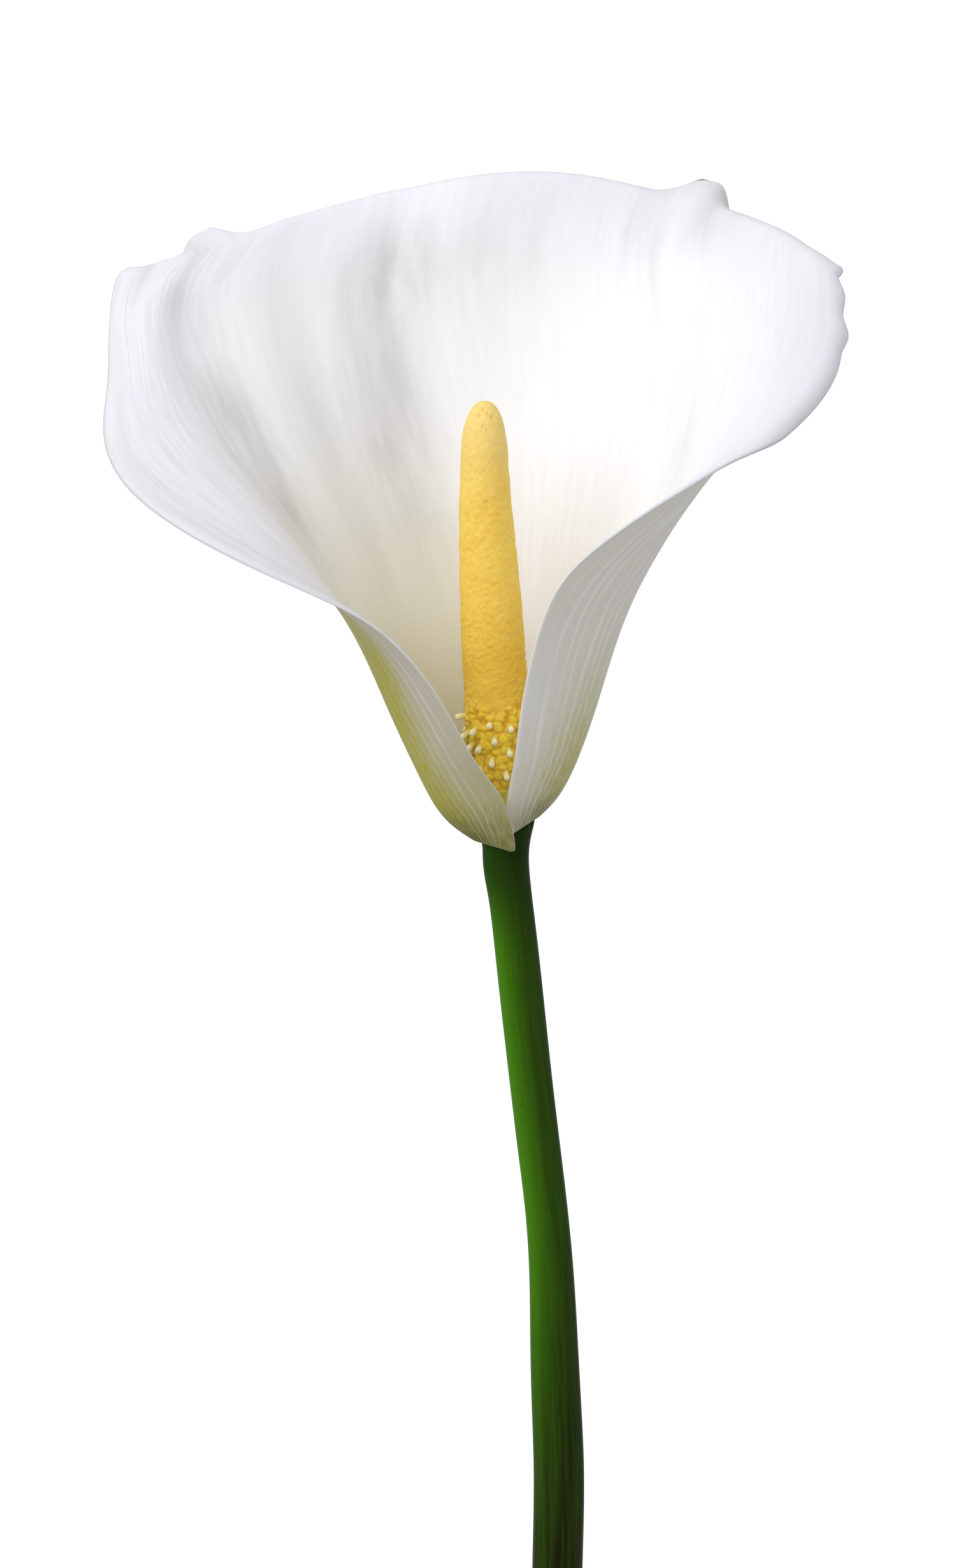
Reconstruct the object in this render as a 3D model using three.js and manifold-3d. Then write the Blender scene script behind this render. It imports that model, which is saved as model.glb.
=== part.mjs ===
// An arum lily flower with its cut stem, lying on its back on a table.
// Millimetres, +Z up, +Y from the cut end of the stem towards the flower.
import * as THREE from 'three';
import { mergeVertices } from 'three/addons/utils/BufferGeometryUtils.js';
import Module from 'manifold-3d';

// Construction works round the point on the table below the flower's junction with its stem.
// The finished group is moved so that the middle of its footprint is the origin.
const CENTRE_X = -5.5;
const CENTRE_Y = -20;

// Spathe: seven guide curves from the base to where the rim starts to roll, [x, y, z].
// ACROSS is each curve's place from the left margin round the back to the right margin.
// LEVELS are the places of the curves' points from the base (0) to the rim (1).
const ACROSS = [0, 0.16, 0.34, 0.5, 0.66, 0.84, 1];
const LEVELS = [0, 0.04, 0.12, 0.23, 0.35, 0.48, 0.61, 0.74, 0.87, 1];
const LEFT_MARGIN = [
  [0.1, -1.9, 42.3], [-0.7, 4.5, 46], [-5.5, 13, 54.5], [-11.5, 23.5, 63], [-23, 38, 67],
  [-43.3, 49.6, 64], [-68.8, 67.4, 52.5], [-72.5, 85, 40], [-73, 99, 30], [-71.3, 108.5, 21]];
const LEFT_FLANK = [
  [-5.4, 0, 37.5], [-9.5, 3.5, 36.5], [-16, 11.5, 38], [-22, 25.5, 40.5], [-28.5, 40, 42.5],
  [-40.5, 56.5, 45], [-54, 74.5, 41], [-59.5, 91, 33], [-59.5, 104.5, 25], [-54, 114.5, 15.5]];
const BACK_LEFT = [
  [-3, 0.4, 32], [-6, 3.5, 29], [-9.5, 12, 27], [-13, 26.5, 26], [-18, 41, 24],
  [-25, 58.5, 22], [-30.5, 77, 19], [-32.5, 95.5, 15], [-31, 112, 9.5], [-27, 124, 4]];
const BACK = [
  [0.5, 1.2, 31], [0.5, 4, 26.5], [0, 12.5, 24], [-1, 26.5, 22], [-2, 42.5, 19],
  [-3, 60, 16], [-3, 78.5, 13], [-2, 98.5, 10], [0.5, 116, 7.5], [3.5, 128.5, 4.8]];
const BACK_RIGHT = [
  [3.1, 1.9, 32], [5.5, 5.5, 29], [7, 14, 27], [9, 27, 26], [10.5, 43, 25],
  [13, 59.5, 24], [17.5, 76.5, 21], [22, 95.5, 15.5], [25, 112.5, 9.5], [29, 125, 4.3]];
const RIGHT_FLANK = [
  [3.9, 2.4, 36.5], [7.3, 7, 37], [12, 14, 38], [16.5, 26.5, 40.5], [21, 41, 44],
  [27.5, 54.5, 47], [35.5, 68.5, 45], [43, 86, 37], [47.5, 103, 25.5], [49.5, 117.5, 14.5]];
const RIGHT_MARGIN = [
  [0.4, 1.9, 40.6], [0.2, 5, 44.2], [1.5, 13.5, 52.5], [3, 25, 61], [7.5, 42, 68],
  [18, 53, 68], [35.5, 66.5, 62], [49.5, 78, 50], [59.5, 91.5, 36], [60.5, 108.5, 23]];

// The rim rolls outwards past the guide curves: [place along the side, strip width, turn in degrees].
const LEFT_RIM = [
  [0, 0.8, 5], [0.2, 0.8, 5], [0.33, 1.6, 25], [0.42, 1.7, 22],
  [0.61, 2.7, 24], [0.74, 3, 32], [0.87, 3, 40], [1, 4.4, 45]];
const TOP_RIM = [
  [0, 5.2, 50], [0.025, 4.6, 90], [0.065, 5, 110], [0.145, 9, 30], [0.165, 9, 32],
  [0.206, 5, 120], [0.35, 5.5, 150], [0.5, 5.5, 150], [0.645, 5.8, 140], [0.705, 10.2, 44],
  [0.72, 10.4, 43], [0.765, 5.2, 110], [0.81, 5.6, 115], [0.9, 6.4, 105], [0.97, 6.6, 80], [1, 5.6, 60]];
const RIGHT_RIM = [
  [0, 0.8, 5], [0.2, 0.8, 5], [0.35, 1.2, 20], [0.48, 1.5, 40],
  [0.61, 2.4, 70], [0.74, 4, 80], [0.87, 4.8, 80], [0.96, 4.6, 78], [1, 3.7, 75]];

// Veins lean towards the left margin as they rise: [place across, how far each has leant at the rim].
const VEIN_LEAN = [[0, 0.054], [0.12, 0.072], [0.3, 0.036], [0.45, 0.061], [0.65, 0.072], [1, 0]];
const LEAN_START = 0.45;
const LEAN_END = 0.95;

// Soft pleats that run up the veins: [vein, levels where it starts and ends, half width, height].
const PLEATS = [[0.22, 0.25, 1, 0.045, -2.4], [0.43, 0.4, 1.1, 0.035, -1.6]];
const PLEAT_FADE = 0.25;

// Spathe's thickness at its base, at its rim and along its two free margins.
const BASE_THICKNESS = 1.1;
const RIM_THICKNESS = 0.8;
const MARGIN_THICKNESS = 0.7;
const CELLS_ACROSS = 40;
const CELLS_UP = 30;
const CELLS_IN_ROLL = 3;

// Stem: [x, y, z, radius] of its sections from the cut end to the shoulder under the flower,
// and of the narrow neck above the shoulder, which the spathe wraps round.
const STEM = [
  [9.5, -169, 4.5, 4.9], [9.5, -166.5, 4.7, 4.9], [9.8, -141, 9.2, 4.9], [10, -121, 12.2, 4.9],
  [9.5, -108.5, 14.5, 4.8], [9, -96, 17, 4.6], [8.5, -83.5, 19.5, 4.3], [7.5, -71, 22, 4.1],
  [6, -58.5, 24.4, 4.1], [4.5, -46, 26.7, 4.1], [2, -22, 31, 4.2], [0.5, -9.5, 33.6, 4.3],
  [-0.2, -3, 34.8, 4.55], [-0.3, 0.55, 35.2, 4.6]];
const NECK = [[-0.4, 0.65, 35.3, 3.1], [-0.7, 1.9, 35.7, 3.1], [-0.8, 2.9, 36, 3]];
// The shoulder leans to the left, like the foot of the spathe above it.
const SHOULDER_LEAN = 0.28;
const STEM_SIDES = 20;

// Spadix: centre line from its foot to its tip, and its radius at shares of its length.
const SPADIX_LINE = [
  [-0.9, 3.3, 36.1], [-1.6, 17, 39], [-2.5, 33, 41], [-3.2, 45, 42.3], [-4, 59, 43.5],
  [-4.4, 73, 44.5], [-4.3, 82.8, 45]];
const SPADIX_RADIUS = [
  [0, 2.9], [0.035, 3.9], [0.09, 4.9], [0.16, 5.5], [0.26, 5.7], [0.4, 5.7], [0.52, 5.6],
  [0.7, 5.1], [0.86, 4.4], [0.93, 3.9], [0.965, 3.2], [0.985, 2.4], [0.995, 1.5]];
const SPADIX_RINGS = 62;
const SPADIX_SIDES = 28;
const ANTHER_HEIGHT = 0.16;
const OVARY_HEIGHT = 0.34;
const LOWEST_BUMP = 0.7;
const HIGHEST_BUMP = 1.3;
const FOOT_END = 0.08;
const OVARY_END = 0.28;
const TIP_START = 0.97;

// Cream stubs that stand out among the ovaries, each a little out of place, shorter or longer.
const STUB_COUNT = 34;
const STUB_FROM = 0.085;
const STUB_TO = 0.265;
const STUB_RADIUS = 0.5;
const STUB_SHORTEST = 0.96;
const STUB_LONGEST = 1.44;
const STUB_TAPER = 0.8;
const STUB_FACES = 5;
const STUB_ROOT = 1;
const STUB_SHIFT = 0.6;
const STUB_TWIST = 0.3;
const STUB_SEED = 7;

const WHITE = 0xf3f3ef;
const GREEN = 0x3f6b1c;
const GOLD = 0xe8b93c;

const wasm = await Module();
wasm.setup();

// Seeded draw between 0 and 1, so that every run gives the same flower.
function seededDraw(seed) {
  let state = seed;
  return () => {
    state = (state * 1664525 + 1013904223) % 4294967296;
    return state / 4294967296;
  };
}

// Natural cubic curve through points at given knots.
function curveThrough(knots, points) {
  const last = knots.length - 1;
  const gap = knots.slice(1).map((knot, i) => knot - knots[i]);
  const slope = gap.map((g, i) => points[i + 1].clone().sub(points[i]).divideScalar(g));
  const bend = points.map(() => new THREE.Vector3());
  const ratio = new Array(last).fill(0);
  for (let i = 1; i < last; i += 1) {
    const pivot = 2 * (gap[i - 1] + gap[i]) - gap[i - 1] * ratio[i - 1];
    ratio[i] = gap[i] / pivot;
    bend[i] = slope[i].clone().sub(slope[i - 1]).multiplyScalar(6);
    bend[i].addScaledVector(bend[i - 1], -gap[i - 1]).divideScalar(pivot);
  }
  for (let i = last - 1; i > 0; i -= 1) {
    bend[i].addScaledVector(bend[i + 1], -ratio[i]);
  }
  return (at) => {
    let i = 0;
    while (i < last - 1 && at > knots[i + 1]) {
      i += 1;
    }
    const b = (at - knots[i]) / gap[i];
    const a = 1 - b;
    const point = points[i].clone().multiplyScalar(a).addScaledVector(points[i + 1], b);
    point.addScaledVector(bend[i], (a ** 3 - a) * gap[i] ** 2 / 6);
    return point.addScaledVector(bend[i + 1], (b ** 3 - b) * gap[i] ** 2 / 6);
  };
}

// Value of one column of a table of stations, eased from one station to the next.
function eased(table, at, column) {
  let i = 0;
  while (i < table.length - 2 && at > table[i + 1][0]) {
    i += 1;
  }
  const share = THREE.MathUtils.smoothstep(at, table[i][0], table[i + 1][0]);
  return THREE.MathUtils.lerp(table[i][column], table[i + 1][column], share);
}

// Direction between the neighbours of a grid point, along its row or up its column.
function across(grid, i, j) {
  const row = grid[i];
  return row[Math.min(j + 1, row.length - 1)].clone().sub(row[Math.max(j - 1, 0)]).normalize();
}

function upwards(grid, i, j) {
  return grid[Math.min(i + 1, grid.length - 1)][j].clone().sub(grid[Math.max(i - 1, 0)][j]).normalize();
}

// Unit normal of a grid point, towards the inside of the funnel.
function inward(grid, i, j) {
  return across(grid, i, j).cross(upwards(grid, i, j)).normalize();
}

// Point on the rolled strip: from an edge point outwards, bending away from the inside.
function rolled(edge, share) {
  const turn = THREE.MathUtils.degToRad(edge.turn);
  const radius = edge.width / turn;
  const point = edge.point.clone().addScaledVector(edge.out, Math.sin(turn * share) * radius);
  return point.addScaledVector(edge.normal, -(1 - Math.cos(turn * share)) * radius);
}

// Middle surface of the spathe without its rolled rim, rows from the base up.
function funnelGrid() {
  const guides = [LEFT_MARGIN, LEFT_FLANK, BACK_LEFT, BACK, BACK_RIGHT, RIGHT_FLANK, RIGHT_MARGIN];
  const curves = guides.map((guide) => curveThrough(LEVELS, guide.map((p) => new THREE.Vector3(...p))));
  const grid = [];
  for (let i = 0; i <= CELLS_UP; i += 1) {
    const row = curveThrough(ACROSS, curves.map((curve) => curve(i / CELLS_UP)));
    grid.push(Array.from({ length: CELLS_ACROSS + 1 }, (_, j) => row(j / CELLS_ACROSS)));
  }
  return grid;
}

// Which vein, 0 to 1 across, runs through a place.
function veinAt(place, level) {
  return place + eased(VEIN_LEAN, place, 1) * THREE.MathUtils.smoothstep(level, LEAN_START, LEAN_END);
}

// Height of the pleats: ridges or valleys along the veins, which rise and sink over PLEAT_FADE.
function reliefOfSheet(place, level) {
  const vein = veinAt(place, level);
  let lift = 0;
  for (const [at, start, end, halfWidth, height] of PLEATS) {
    const rise = THREE.MathUtils.smoothstep(level, start, start + PLEAT_FADE);
    const sink = THREE.MathUtils.smoothstep(level, end - PLEAT_FADE, end);
    lift += height * rise * (1 - sink) * Math.exp(-(((vein - at) / halfWidth) ** 2));
  }
  return lift;
}

function pleated(grid) {
  return grid.map((row, i) => row.map((point, j) => {
    const lift = reliefOfSheet(j / CELLS_ACROSS, i / CELLS_UP);
    return point.clone().addScaledVector(inward(grid, i, j), lift);
  }));
}

// The three edges that the rim rolls from: point, direction out of the sheet, strip width and turn.
function sideEdge(grid, i, j, table) {
  const normal = inward(grid, i, j);
  const out = upwards(grid, i, j).cross(normal).multiplyScalar(j === 0 ? -1 : 1).normalize();
  const at = i / CELLS_UP;
  return { point: grid[i][j], normal, out, width: eased(table, at, 1), turn: eased(table, at, 2) };
}

function topEdge(grid, j) {
  const normal = inward(grid, CELLS_UP, j);
  const out = normal.clone().cross(across(grid, CELLS_UP, j)).normalize();
  const at = j / CELLS_ACROSS;
  const edge = { point: grid[CELLS_UP][j], normal, out };
  return { ...edge, width: eased(TOP_RIM, at, 1), turn: eased(TOP_RIM, at, 2) };
}

// Edge that fans round a corner, from the side (0) to the top (1).
function cornerEdge(side, top, share) {
  const angle = share * Math.PI / 2;
  const out = side.out.clone().multiplyScalar(Math.cos(angle)).addScaledVector(top.out, Math.sin(angle));
  return {
    point: side.point,
    normal: side.normal.clone().add(top.normal).normalize(),
    out: out.normalize(),
    width: THREE.MathUtils.lerp(side.width, top.width, share),
    turn: THREE.MathUtils.lerp(side.turn, top.turn, share),
  };
}

function cornerPoint(side, top, sideStep, topStep) {
  const reach = Math.max(sideStep, topStep);
  const share = topStep >= sideStep ? 1 - 0.5 * sideStep / topStep : 0.5 * topStep / sideStep;
  return rolled(cornerEdge(side, top, share), reach / CELLS_IN_ROLL);
}

// Middle surface with the rolled strips added on the left, the right and the top.
function spatheGrid() {
  const funnel = pleated(funnelGrid());
  const left = funnel.map((_, i) => sideEdge(funnel, i, 0, LEFT_RIM));
  const right = funnel.map((_, i) => sideEdge(funnel, i, CELLS_ACROSS, RIGHT_RIM));
  const top = funnel[CELLS_UP].map((_, j) => topEdge(funnel, j));
  const steps = Array.from({ length: CELLS_IN_ROLL }, (_, k) => k + 1);
  const outwards = [...steps].reverse();
  const rows = funnel.map((row, i) => [
    ...outwards.map((k) => rolled(left[i], k / CELLS_IN_ROLL)),
    ...row,
    ...steps.map((k) => rolled(right[i], k / CELLS_IN_ROLL))]);
  for (const up of steps) {
    rows.push([
      ...outwards.map((k) => cornerPoint(left[CELLS_UP], top[0], k, up)),
      ...top.map((edge) => rolled(edge, up / CELLS_IN_ROLL)),
      ...steps.map((k) => cornerPoint(right[CELLS_UP], top[CELLS_ACROSS], k, up))]);
  }
  return rows;
}

function thicknessAt(i, j, rows, columns) {
  const body = THREE.MathUtils.lerp(BASE_THICKNESS, RIM_THICKNESS, Math.min(1, i / CELLS_UP));
  const onMargin = j === 0 || j === columns - 1 || i === rows - 1;
  return onMargin ? MARGIN_THICKNESS : body;
}

// Closed solid between the two faces of a grid, with its lowest part flattened on the table.
function thickenedSheet(grid) {
  const rows = grid.length;
  const columns = grid[0].length;
  const positions = [];
  for (const face of [0.5, -0.5]) {
    grid.forEach((row, i) => row.forEach((point, j) => {
      const offset = face * thicknessAt(i, j, rows, columns);
      const vertex = point.clone().addScaledVector(inward(grid, i, j), offset);
      positions.push(vertex.x, vertex.y, Math.max(vertex.z, 0));
    }));
  }
  const front = (i, j) => i * columns + j;
  const back = (i, j) => rows * columns + front(i, j);
  const faces = [];
  for (let i = 0; i < rows - 1; i += 1) {
    for (let j = 0; j < columns - 1; j += 1) {
      faces.push(front(i, j), front(i, j + 1), front(i + 1, j + 1));
      faces.push(front(i, j), front(i + 1, j + 1), front(i + 1, j));
      faces.push(back(i, j), back(i + 1, j + 1), back(i, j + 1));
      faces.push(back(i, j), back(i + 1, j), back(i + 1, j + 1));
    }
  }
  const edge = [];
  for (let j = 0; j < columns - 1; j += 1) {
    edge.push([0, j]);
  }
  for (let i = 0; i < rows - 1; i += 1) {
    edge.push([i, columns - 1]);
  }
  for (let j = columns - 1; j > 0; j -= 1) {
    edge.push([rows - 1, j]);
  }
  for (let i = rows - 1; i > 0; i -= 1) {
    edge.push([i, 0]);
  }
  edge.forEach(([i, j], k) => {
    const [iNext, jNext] = edge[(k + 1) % edge.length];
    faces.push(front(i, j), back(i, j), back(iNext, jNext));
    faces.push(front(i, j), back(iNext, jNext), front(iNext, jNext));
  });
  return geometryFrom(positions, faces);
}

function geometryFrom(positions, faces) {
  const geometry = new THREE.BufferGeometry();
  geometry.setAttribute('position', new THREE.Float32BufferAttribute(positions, 3));
  geometry.setIndex(faces);
  geometry.computeVertexNormals();
  return geometry;
}

// Closed solid of rings round a centre line. Each ring is {centre, tangent, radii}.
function ringedSolid(rings) {
  const sides = rings[0].radii.length;
  const positions = [];
  for (const { centre, tangent, radii } of rings) {
    const aside = tangent.clone().cross(new THREE.Vector3(0, 0, 1)).normalize();
    const above = aside.clone().cross(tangent).normalize();
    radii.forEach((radius, j) => {
      const angle = 2 * Math.PI * (j + 0.5) / sides;
      const vertex = centre.clone().addScaledVector(aside, radius * Math.cos(angle));
      vertex.addScaledVector(above, radius * Math.sin(angle));
      positions.push(vertex.x, vertex.y, Math.max(vertex.z, 0));
    });
  }
  const faces = [];
  for (let i = 0; i < rings.length - 1; i += 1) {
    for (let j = 0; j < sides; j += 1) {
      const next = (j + 1) % sides;
      faces.push(i * sides + j, (i + 1) * sides + next, i * sides + next);
      faces.push(i * sides + j, (i + 1) * sides + j, (i + 1) * sides + next);
    }
  }
  const start = positions.length / 3;
  positions.push(...rings[0].centre.toArray(), ...rings[rings.length - 1].centre.toArray());
  const lastRing = (rings.length - 1) * sides;
  for (let j = 0; j < sides; j += 1) {
    const next = (j + 1) % sides;
    faces.push(start, j, next);
    faces.push(start + 1, lastRing + next, lastRing + j);
  }
  return geometryFrom(positions, faces);
}

function stemGeometry() {
  const sections = [...STEM, ...NECK];
  const centres = sections.map(([x, y, z]) => new THREE.Vector3(x, y, z));
  const rings = sections.map(([, , , radius], i) => {
    const before = centres[Math.max(i - 1, 0)];
    const after = centres[Math.min(i + 1, centres.length - 1)];
    const onShoulder = i === STEM.length - 1 || i === STEM.length;
    const tangent = onShoulder ? new THREE.Vector3(-SHOULDER_LEAN, 1, 0) : after.clone().sub(before);
    return { centre: centres[i], tangent: tangent.normalize(), radii: new Array(STEM_SIDES).fill(radius) };
  });
  return ringedSolid(rings);
}

// Centre line of the spadix as a curve of the share of its length.
function spadixLine() {
  const points = SPADIX_LINE.map((p) => new THREE.Vector3(...p));
  const total = points[points.length - 1].y - points[0].y;
  return curveThrough(points.map((p) => (p.y - points[0].y) / total), points);
}

function tangentAt(line, share) {
  const step = 0.01;
  return line(Math.min(share + step, 1)).sub(line(Math.max(share - step, 0))).normalize();
}

// Every second point of each ring stands out, staggered: small anthers above, round ovaries below.
function reliefAt(share, i, j, draw) {
  const raised = (i + j) % 2;
  if (share < FOOT_END || share > TIP_START) {
    return 0;
  }
  const height = share < OVARY_END ? OVARY_HEIGHT : ANTHER_HEIGHT;
  return raised * height * THREE.MathUtils.lerp(LOWEST_BUMP, HIGHEST_BUMP, draw());
}

function spadixBody(line) {
  const draw = seededDraw(STUB_SEED);
  const lastShare = SPADIX_RADIUS[SPADIX_RADIUS.length - 1][0];
  const rings = [];
  for (let i = 0; i <= SPADIX_RINGS; i += 1) {
    const share = lastShare * i / SPADIX_RINGS;
    const radius = eased(SPADIX_RADIUS, share, 1);
    const radii = Array.from({ length: SPADIX_SIDES }, (_, j) => radius + reliefAt(share, i, j, draw));
    rings.push({ centre: line(share), tangent: tangentAt(line, share), radii });
  }
  return ringedSolid(rings);
}

// One stub: a short, slightly tapered post that starts inside the spadix.
function stubGeometry(line, share, angle, length) {
  const top = STUB_TAPER * STUB_RADIUS;
  const geometry = new THREE.CylinderGeometry(top, STUB_RADIUS, STUB_ROOT + length, STUB_FACES);
  geometry.translate(0, (STUB_ROOT + length) / 2, 0);
  const tangent = tangentAt(line, share);
  const aside = tangent.clone().cross(new THREE.Vector3(0, 0, 1)).normalize();
  const above = aside.clone().cross(tangent);
  const out = aside.multiplyScalar(Math.cos(angle)).addScaledVector(above, Math.sin(angle));
  const radius = eased(SPADIX_RADIUS, share, 1);
  geometry.applyQuaternion(new THREE.Quaternion().setFromUnitVectors(new THREE.Vector3(0, 1, 0), out));
  const root = line(share).addScaledVector(out, radius - STUB_ROOT);
  geometry.translate(root.x, root.y, root.z);
  return geometry;
}

function solidFrom(geometry) {
  const bare = geometry.clone();
  bare.deleteAttribute('normal');
  bare.deleteAttribute('uv');
  const merged = mergeVertices(bare);
  const mesh = new wasm.Mesh({
    numProp: 3,
    vertProperties: Float32Array.from(merged.attributes.position.array),
    triVerts: Uint32Array.from(merged.index.array),
  });
  return new wasm.Manifold(mesh);
}

function geometryOf(solid) {
  const mesh = solid.getMesh();
  return geometryFrom(Array.from(mesh.vertProperties), Array.from(mesh.triVerts));
}

// Stubs go up a spiral of golden-angle steps, a little out of place, all round the ovaries.
function spadixGeometry() {
  const line = spadixLine();
  const draw = seededDraw(STUB_SEED);
  const goldenAngle = Math.PI * (3 - Math.sqrt(5));
  let solid = solidFrom(spadixBody(line));
  for (let k = 0; k < STUB_COUNT; k += 1) {
    const share = THREE.MathUtils.lerp(STUB_FROM, STUB_TO, (k + STUB_SHIFT * draw()) / STUB_COUNT);
    const angle = k * goldenAngle + STUB_TWIST * draw();
    const length = THREE.MathUtils.lerp(STUB_SHORTEST, STUB_LONGEST, draw());
    solid = solid.add(solidFrom(stubGeometry(line, share, angle, length)));
  }
  return geometryOf(solid);
}

function namedMesh(name, geometry, color, roughness) {
  const material = new THREE.MeshStandardMaterial({ color, roughness, metalness: 0 });
  const mesh = new THREE.Mesh(geometry, material);
  mesh.name = name;
  return mesh;
}

const flower = new THREE.Group();
flower.add(namedMesh('stem', stemGeometry(), GREEN, 0.45));
flower.add(namedMesh('spathe', thickenedSheet(spatheGrid()), WHITE, 0.5));
flower.add(namedMesh('spadix', spadixGeometry(), GOLD, 0.7));
flower.position.set(-CENTRE_X, -CENTRE_Y, 0);

export default flower;
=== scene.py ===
"""An arum lily flower lying on its back: a white spathe, its golden spadix and a green cut stem."""
import math

import bpy
import numpy as np
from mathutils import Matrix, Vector


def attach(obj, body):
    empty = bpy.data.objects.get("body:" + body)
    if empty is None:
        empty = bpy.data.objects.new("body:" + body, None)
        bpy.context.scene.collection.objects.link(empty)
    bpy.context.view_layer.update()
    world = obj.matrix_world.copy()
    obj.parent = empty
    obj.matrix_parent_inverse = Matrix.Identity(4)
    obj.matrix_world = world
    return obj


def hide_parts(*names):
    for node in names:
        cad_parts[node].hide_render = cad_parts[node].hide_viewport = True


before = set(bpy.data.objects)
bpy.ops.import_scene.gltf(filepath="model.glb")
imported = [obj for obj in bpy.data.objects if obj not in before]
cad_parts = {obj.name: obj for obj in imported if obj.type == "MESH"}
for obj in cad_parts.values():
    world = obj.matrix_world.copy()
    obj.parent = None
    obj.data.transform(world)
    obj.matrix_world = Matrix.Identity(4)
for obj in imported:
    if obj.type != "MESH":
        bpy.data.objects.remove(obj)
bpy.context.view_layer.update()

MM = 0.001
# From the point under the flower's junction, where the tables below start, to the middle of the footprint.
TO_MIDDLE = np.array([5.5, 20.0, 0.0])

# Spathe: seven guide curves from the base to where the rim starts to roll, [x, y, z] in mm.
ACROSS = [0, 0.16, 0.34, 0.5, 0.66, 0.84, 1]
LEVELS = [0, 0.04, 0.12, 0.23, 0.35, 0.48, 0.61, 0.74, 0.87, 1]
LEFT_MARGIN = [
    [0.1, -1.9, 42.3], [-0.7, 4.5, 46], [-5.5, 13, 54.5], [-11.5, 23.5, 63], [-23, 38, 67],
    [-43.3, 49.6, 64], [-68.8, 67.4, 52.5], [-72.5, 85, 40], [-73, 99, 30], [-71.3, 108.5, 21]]
LEFT_FLANK = [
    [-5.5, -0.1, 37.5], [-9.9, 3.2, 36.5], [-15.7, 11.5, 38], [-22.4, 25.5, 40.5], [-29.1, 40, 42.5],
    [-40.5, 56.5, 45], [-54, 74.5, 41], [-59.5, 91, 33], [-59.5, 104.5, 25], [-54, 114.5, 15.5]]
BACK_LEFT = [
    [-3, 0.4, 32], [-6, 3.5, 29], [-9.5, 12, 27], [-13, 26.5, 26], [-18, 41, 24],
    [-25, 58.5, 22], [-30.5, 77, 19], [-32.5, 95.5, 15], [-31, 112, 9.5], [-27, 124, 4]]
BACK = [
    [0.5, 1.45, 31], [0.5, 4, 26.5], [0, 12.5, 24], [-1, 26.5, 22], [-2, 42.5, 19],
    [-3, 60, 16], [-3, 78.5, 13], [-2, 98.5, 10], [0.5, 116, 7.5], [3.5, 128.5, 4.8]]
BACK_RIGHT = [
    [3.5, 3.4, 32], [5.5, 5.8, 29], [7, 14, 27], [9, 27, 26], [10.5, 43, 25],
    [13, 59.5, 24], [17.5, 76.5, 21], [22, 95.5, 15.5], [25, 112.5, 9.5], [29, 125, 4.3]]
RIGHT_FLANK = [
    [4.9, 4.05, 36.5], [7.8, 7.2, 37], [12, 14, 38], [16.5, 26.5, 40.5], [21.3, 41, 44],
    [27.9, 54.4, 47], [35.5, 68.5, 45], [43, 86, 37], [47.5, 103, 25.5], [49.5, 117.5, 14.5]]
RIGHT_MARGIN = [
    [0.4, 0.95, 40.7], [0.2, 5, 44.2], [1.5, 13.5, 52.5], [3, 25, 61], [7.5, 42, 68],
    [17.3, 53.9, 68], [35.1, 66.95, 62], [49.5, 78.1, 50], [59.5, 91.5, 36], [60.5, 108.5, 23]]

# The rim rolls outwards past the guides: [place along the side, strip width in mm, turn in degrees].
LEFT_RIM = [
    [0, 0.5, 5], [0.0005, 0.95, 6], [0.0016, 1.3, 8], [0.0032, 1.55, 9], [0.006, 1.65, 10],
    [0.05, 1.1, 8], [0.2, 0.8, 5], [0.33, 1.6, 25], [0.42, 1.7, 22], [0.61, 2.7, 24],
    [0.74, 3, 32], [0.87, 3, 40], [1, 4.4, 45]]
TOP_RIM = [
    [0, 5.2, 50], [0.025, 4.6, 90], [0.065, 5, 110], [0.145, 9, 30], [0.165, 9, 32],
    [0.206, 5, 120], [0.35, 5.5, 150], [0.5, 5.5, 150], [0.645, 5.8, 140], [0.705, 10.2, 44],
    [0.72, 10.4, 43], [0.765, 5.2, 110], [0.81, 5.6, 115], [0.9, 6.4, 105], [0.97, 6.6, 80], [1, 5.6, 60]]
RIGHT_RIM = [
    [0, 0.8, 5], [0.2, 0.8, 5], [0.35, 1.2, 20], [0.48, 1.5, 40], [0.61, 2.4, 70],
    [0.74, 4, 80], [0.87, 4.6, 80], [0.89, 4.5, 80], [0.92, 5.6, 74], [0.945, 4.3, 80],
    [0.975, 4.9, 72], [1, 3.7, 75]]

# Veins lean towards the left margin as they rise: [place across, how far each has leant at the rim].
VEIN_LEAN = [[0, 0.054], [0.12, 0.072], [0.3, 0.036], [0.45, 0.061], [0.65, 0.072], [1, 0]]
LEAN_START = 0.45
LEAN_END = 0.95
VEINS = 57
VEIN_WANDER = 0.026
# Noises on the petal: [width and length of a cell in mm, across and along the veins, detail, roughness].
# They are the wandering of the veins, the gaps in them, the soft grey streaks, the threads of the skin,
# drawn coarser than the real ones so that they show, and the green dashes outside.
PETAL_GRAINS = [
    [4, 33.3, 3, 0.5], [2, 16.7, 2, 0.5], [4.17, 33.3, 4, 0.5], [0.909, 15.4, 3, 0.5], [0.625, 2.86, 3, 0.7]]
# The noises are laid out by the petal's width at this level, run on past the guides by this share of
# the distance there, and lie this many cells away outside.
REFERENCE_LEVEL = 0.3
ROLL_SPREAD = 0.4
OUTSIDE_SHIFT = 40
# Past the guides the veins keep the spacing that they have on a petal this many mm wide.
PETAL_WIDTH = 150
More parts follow.
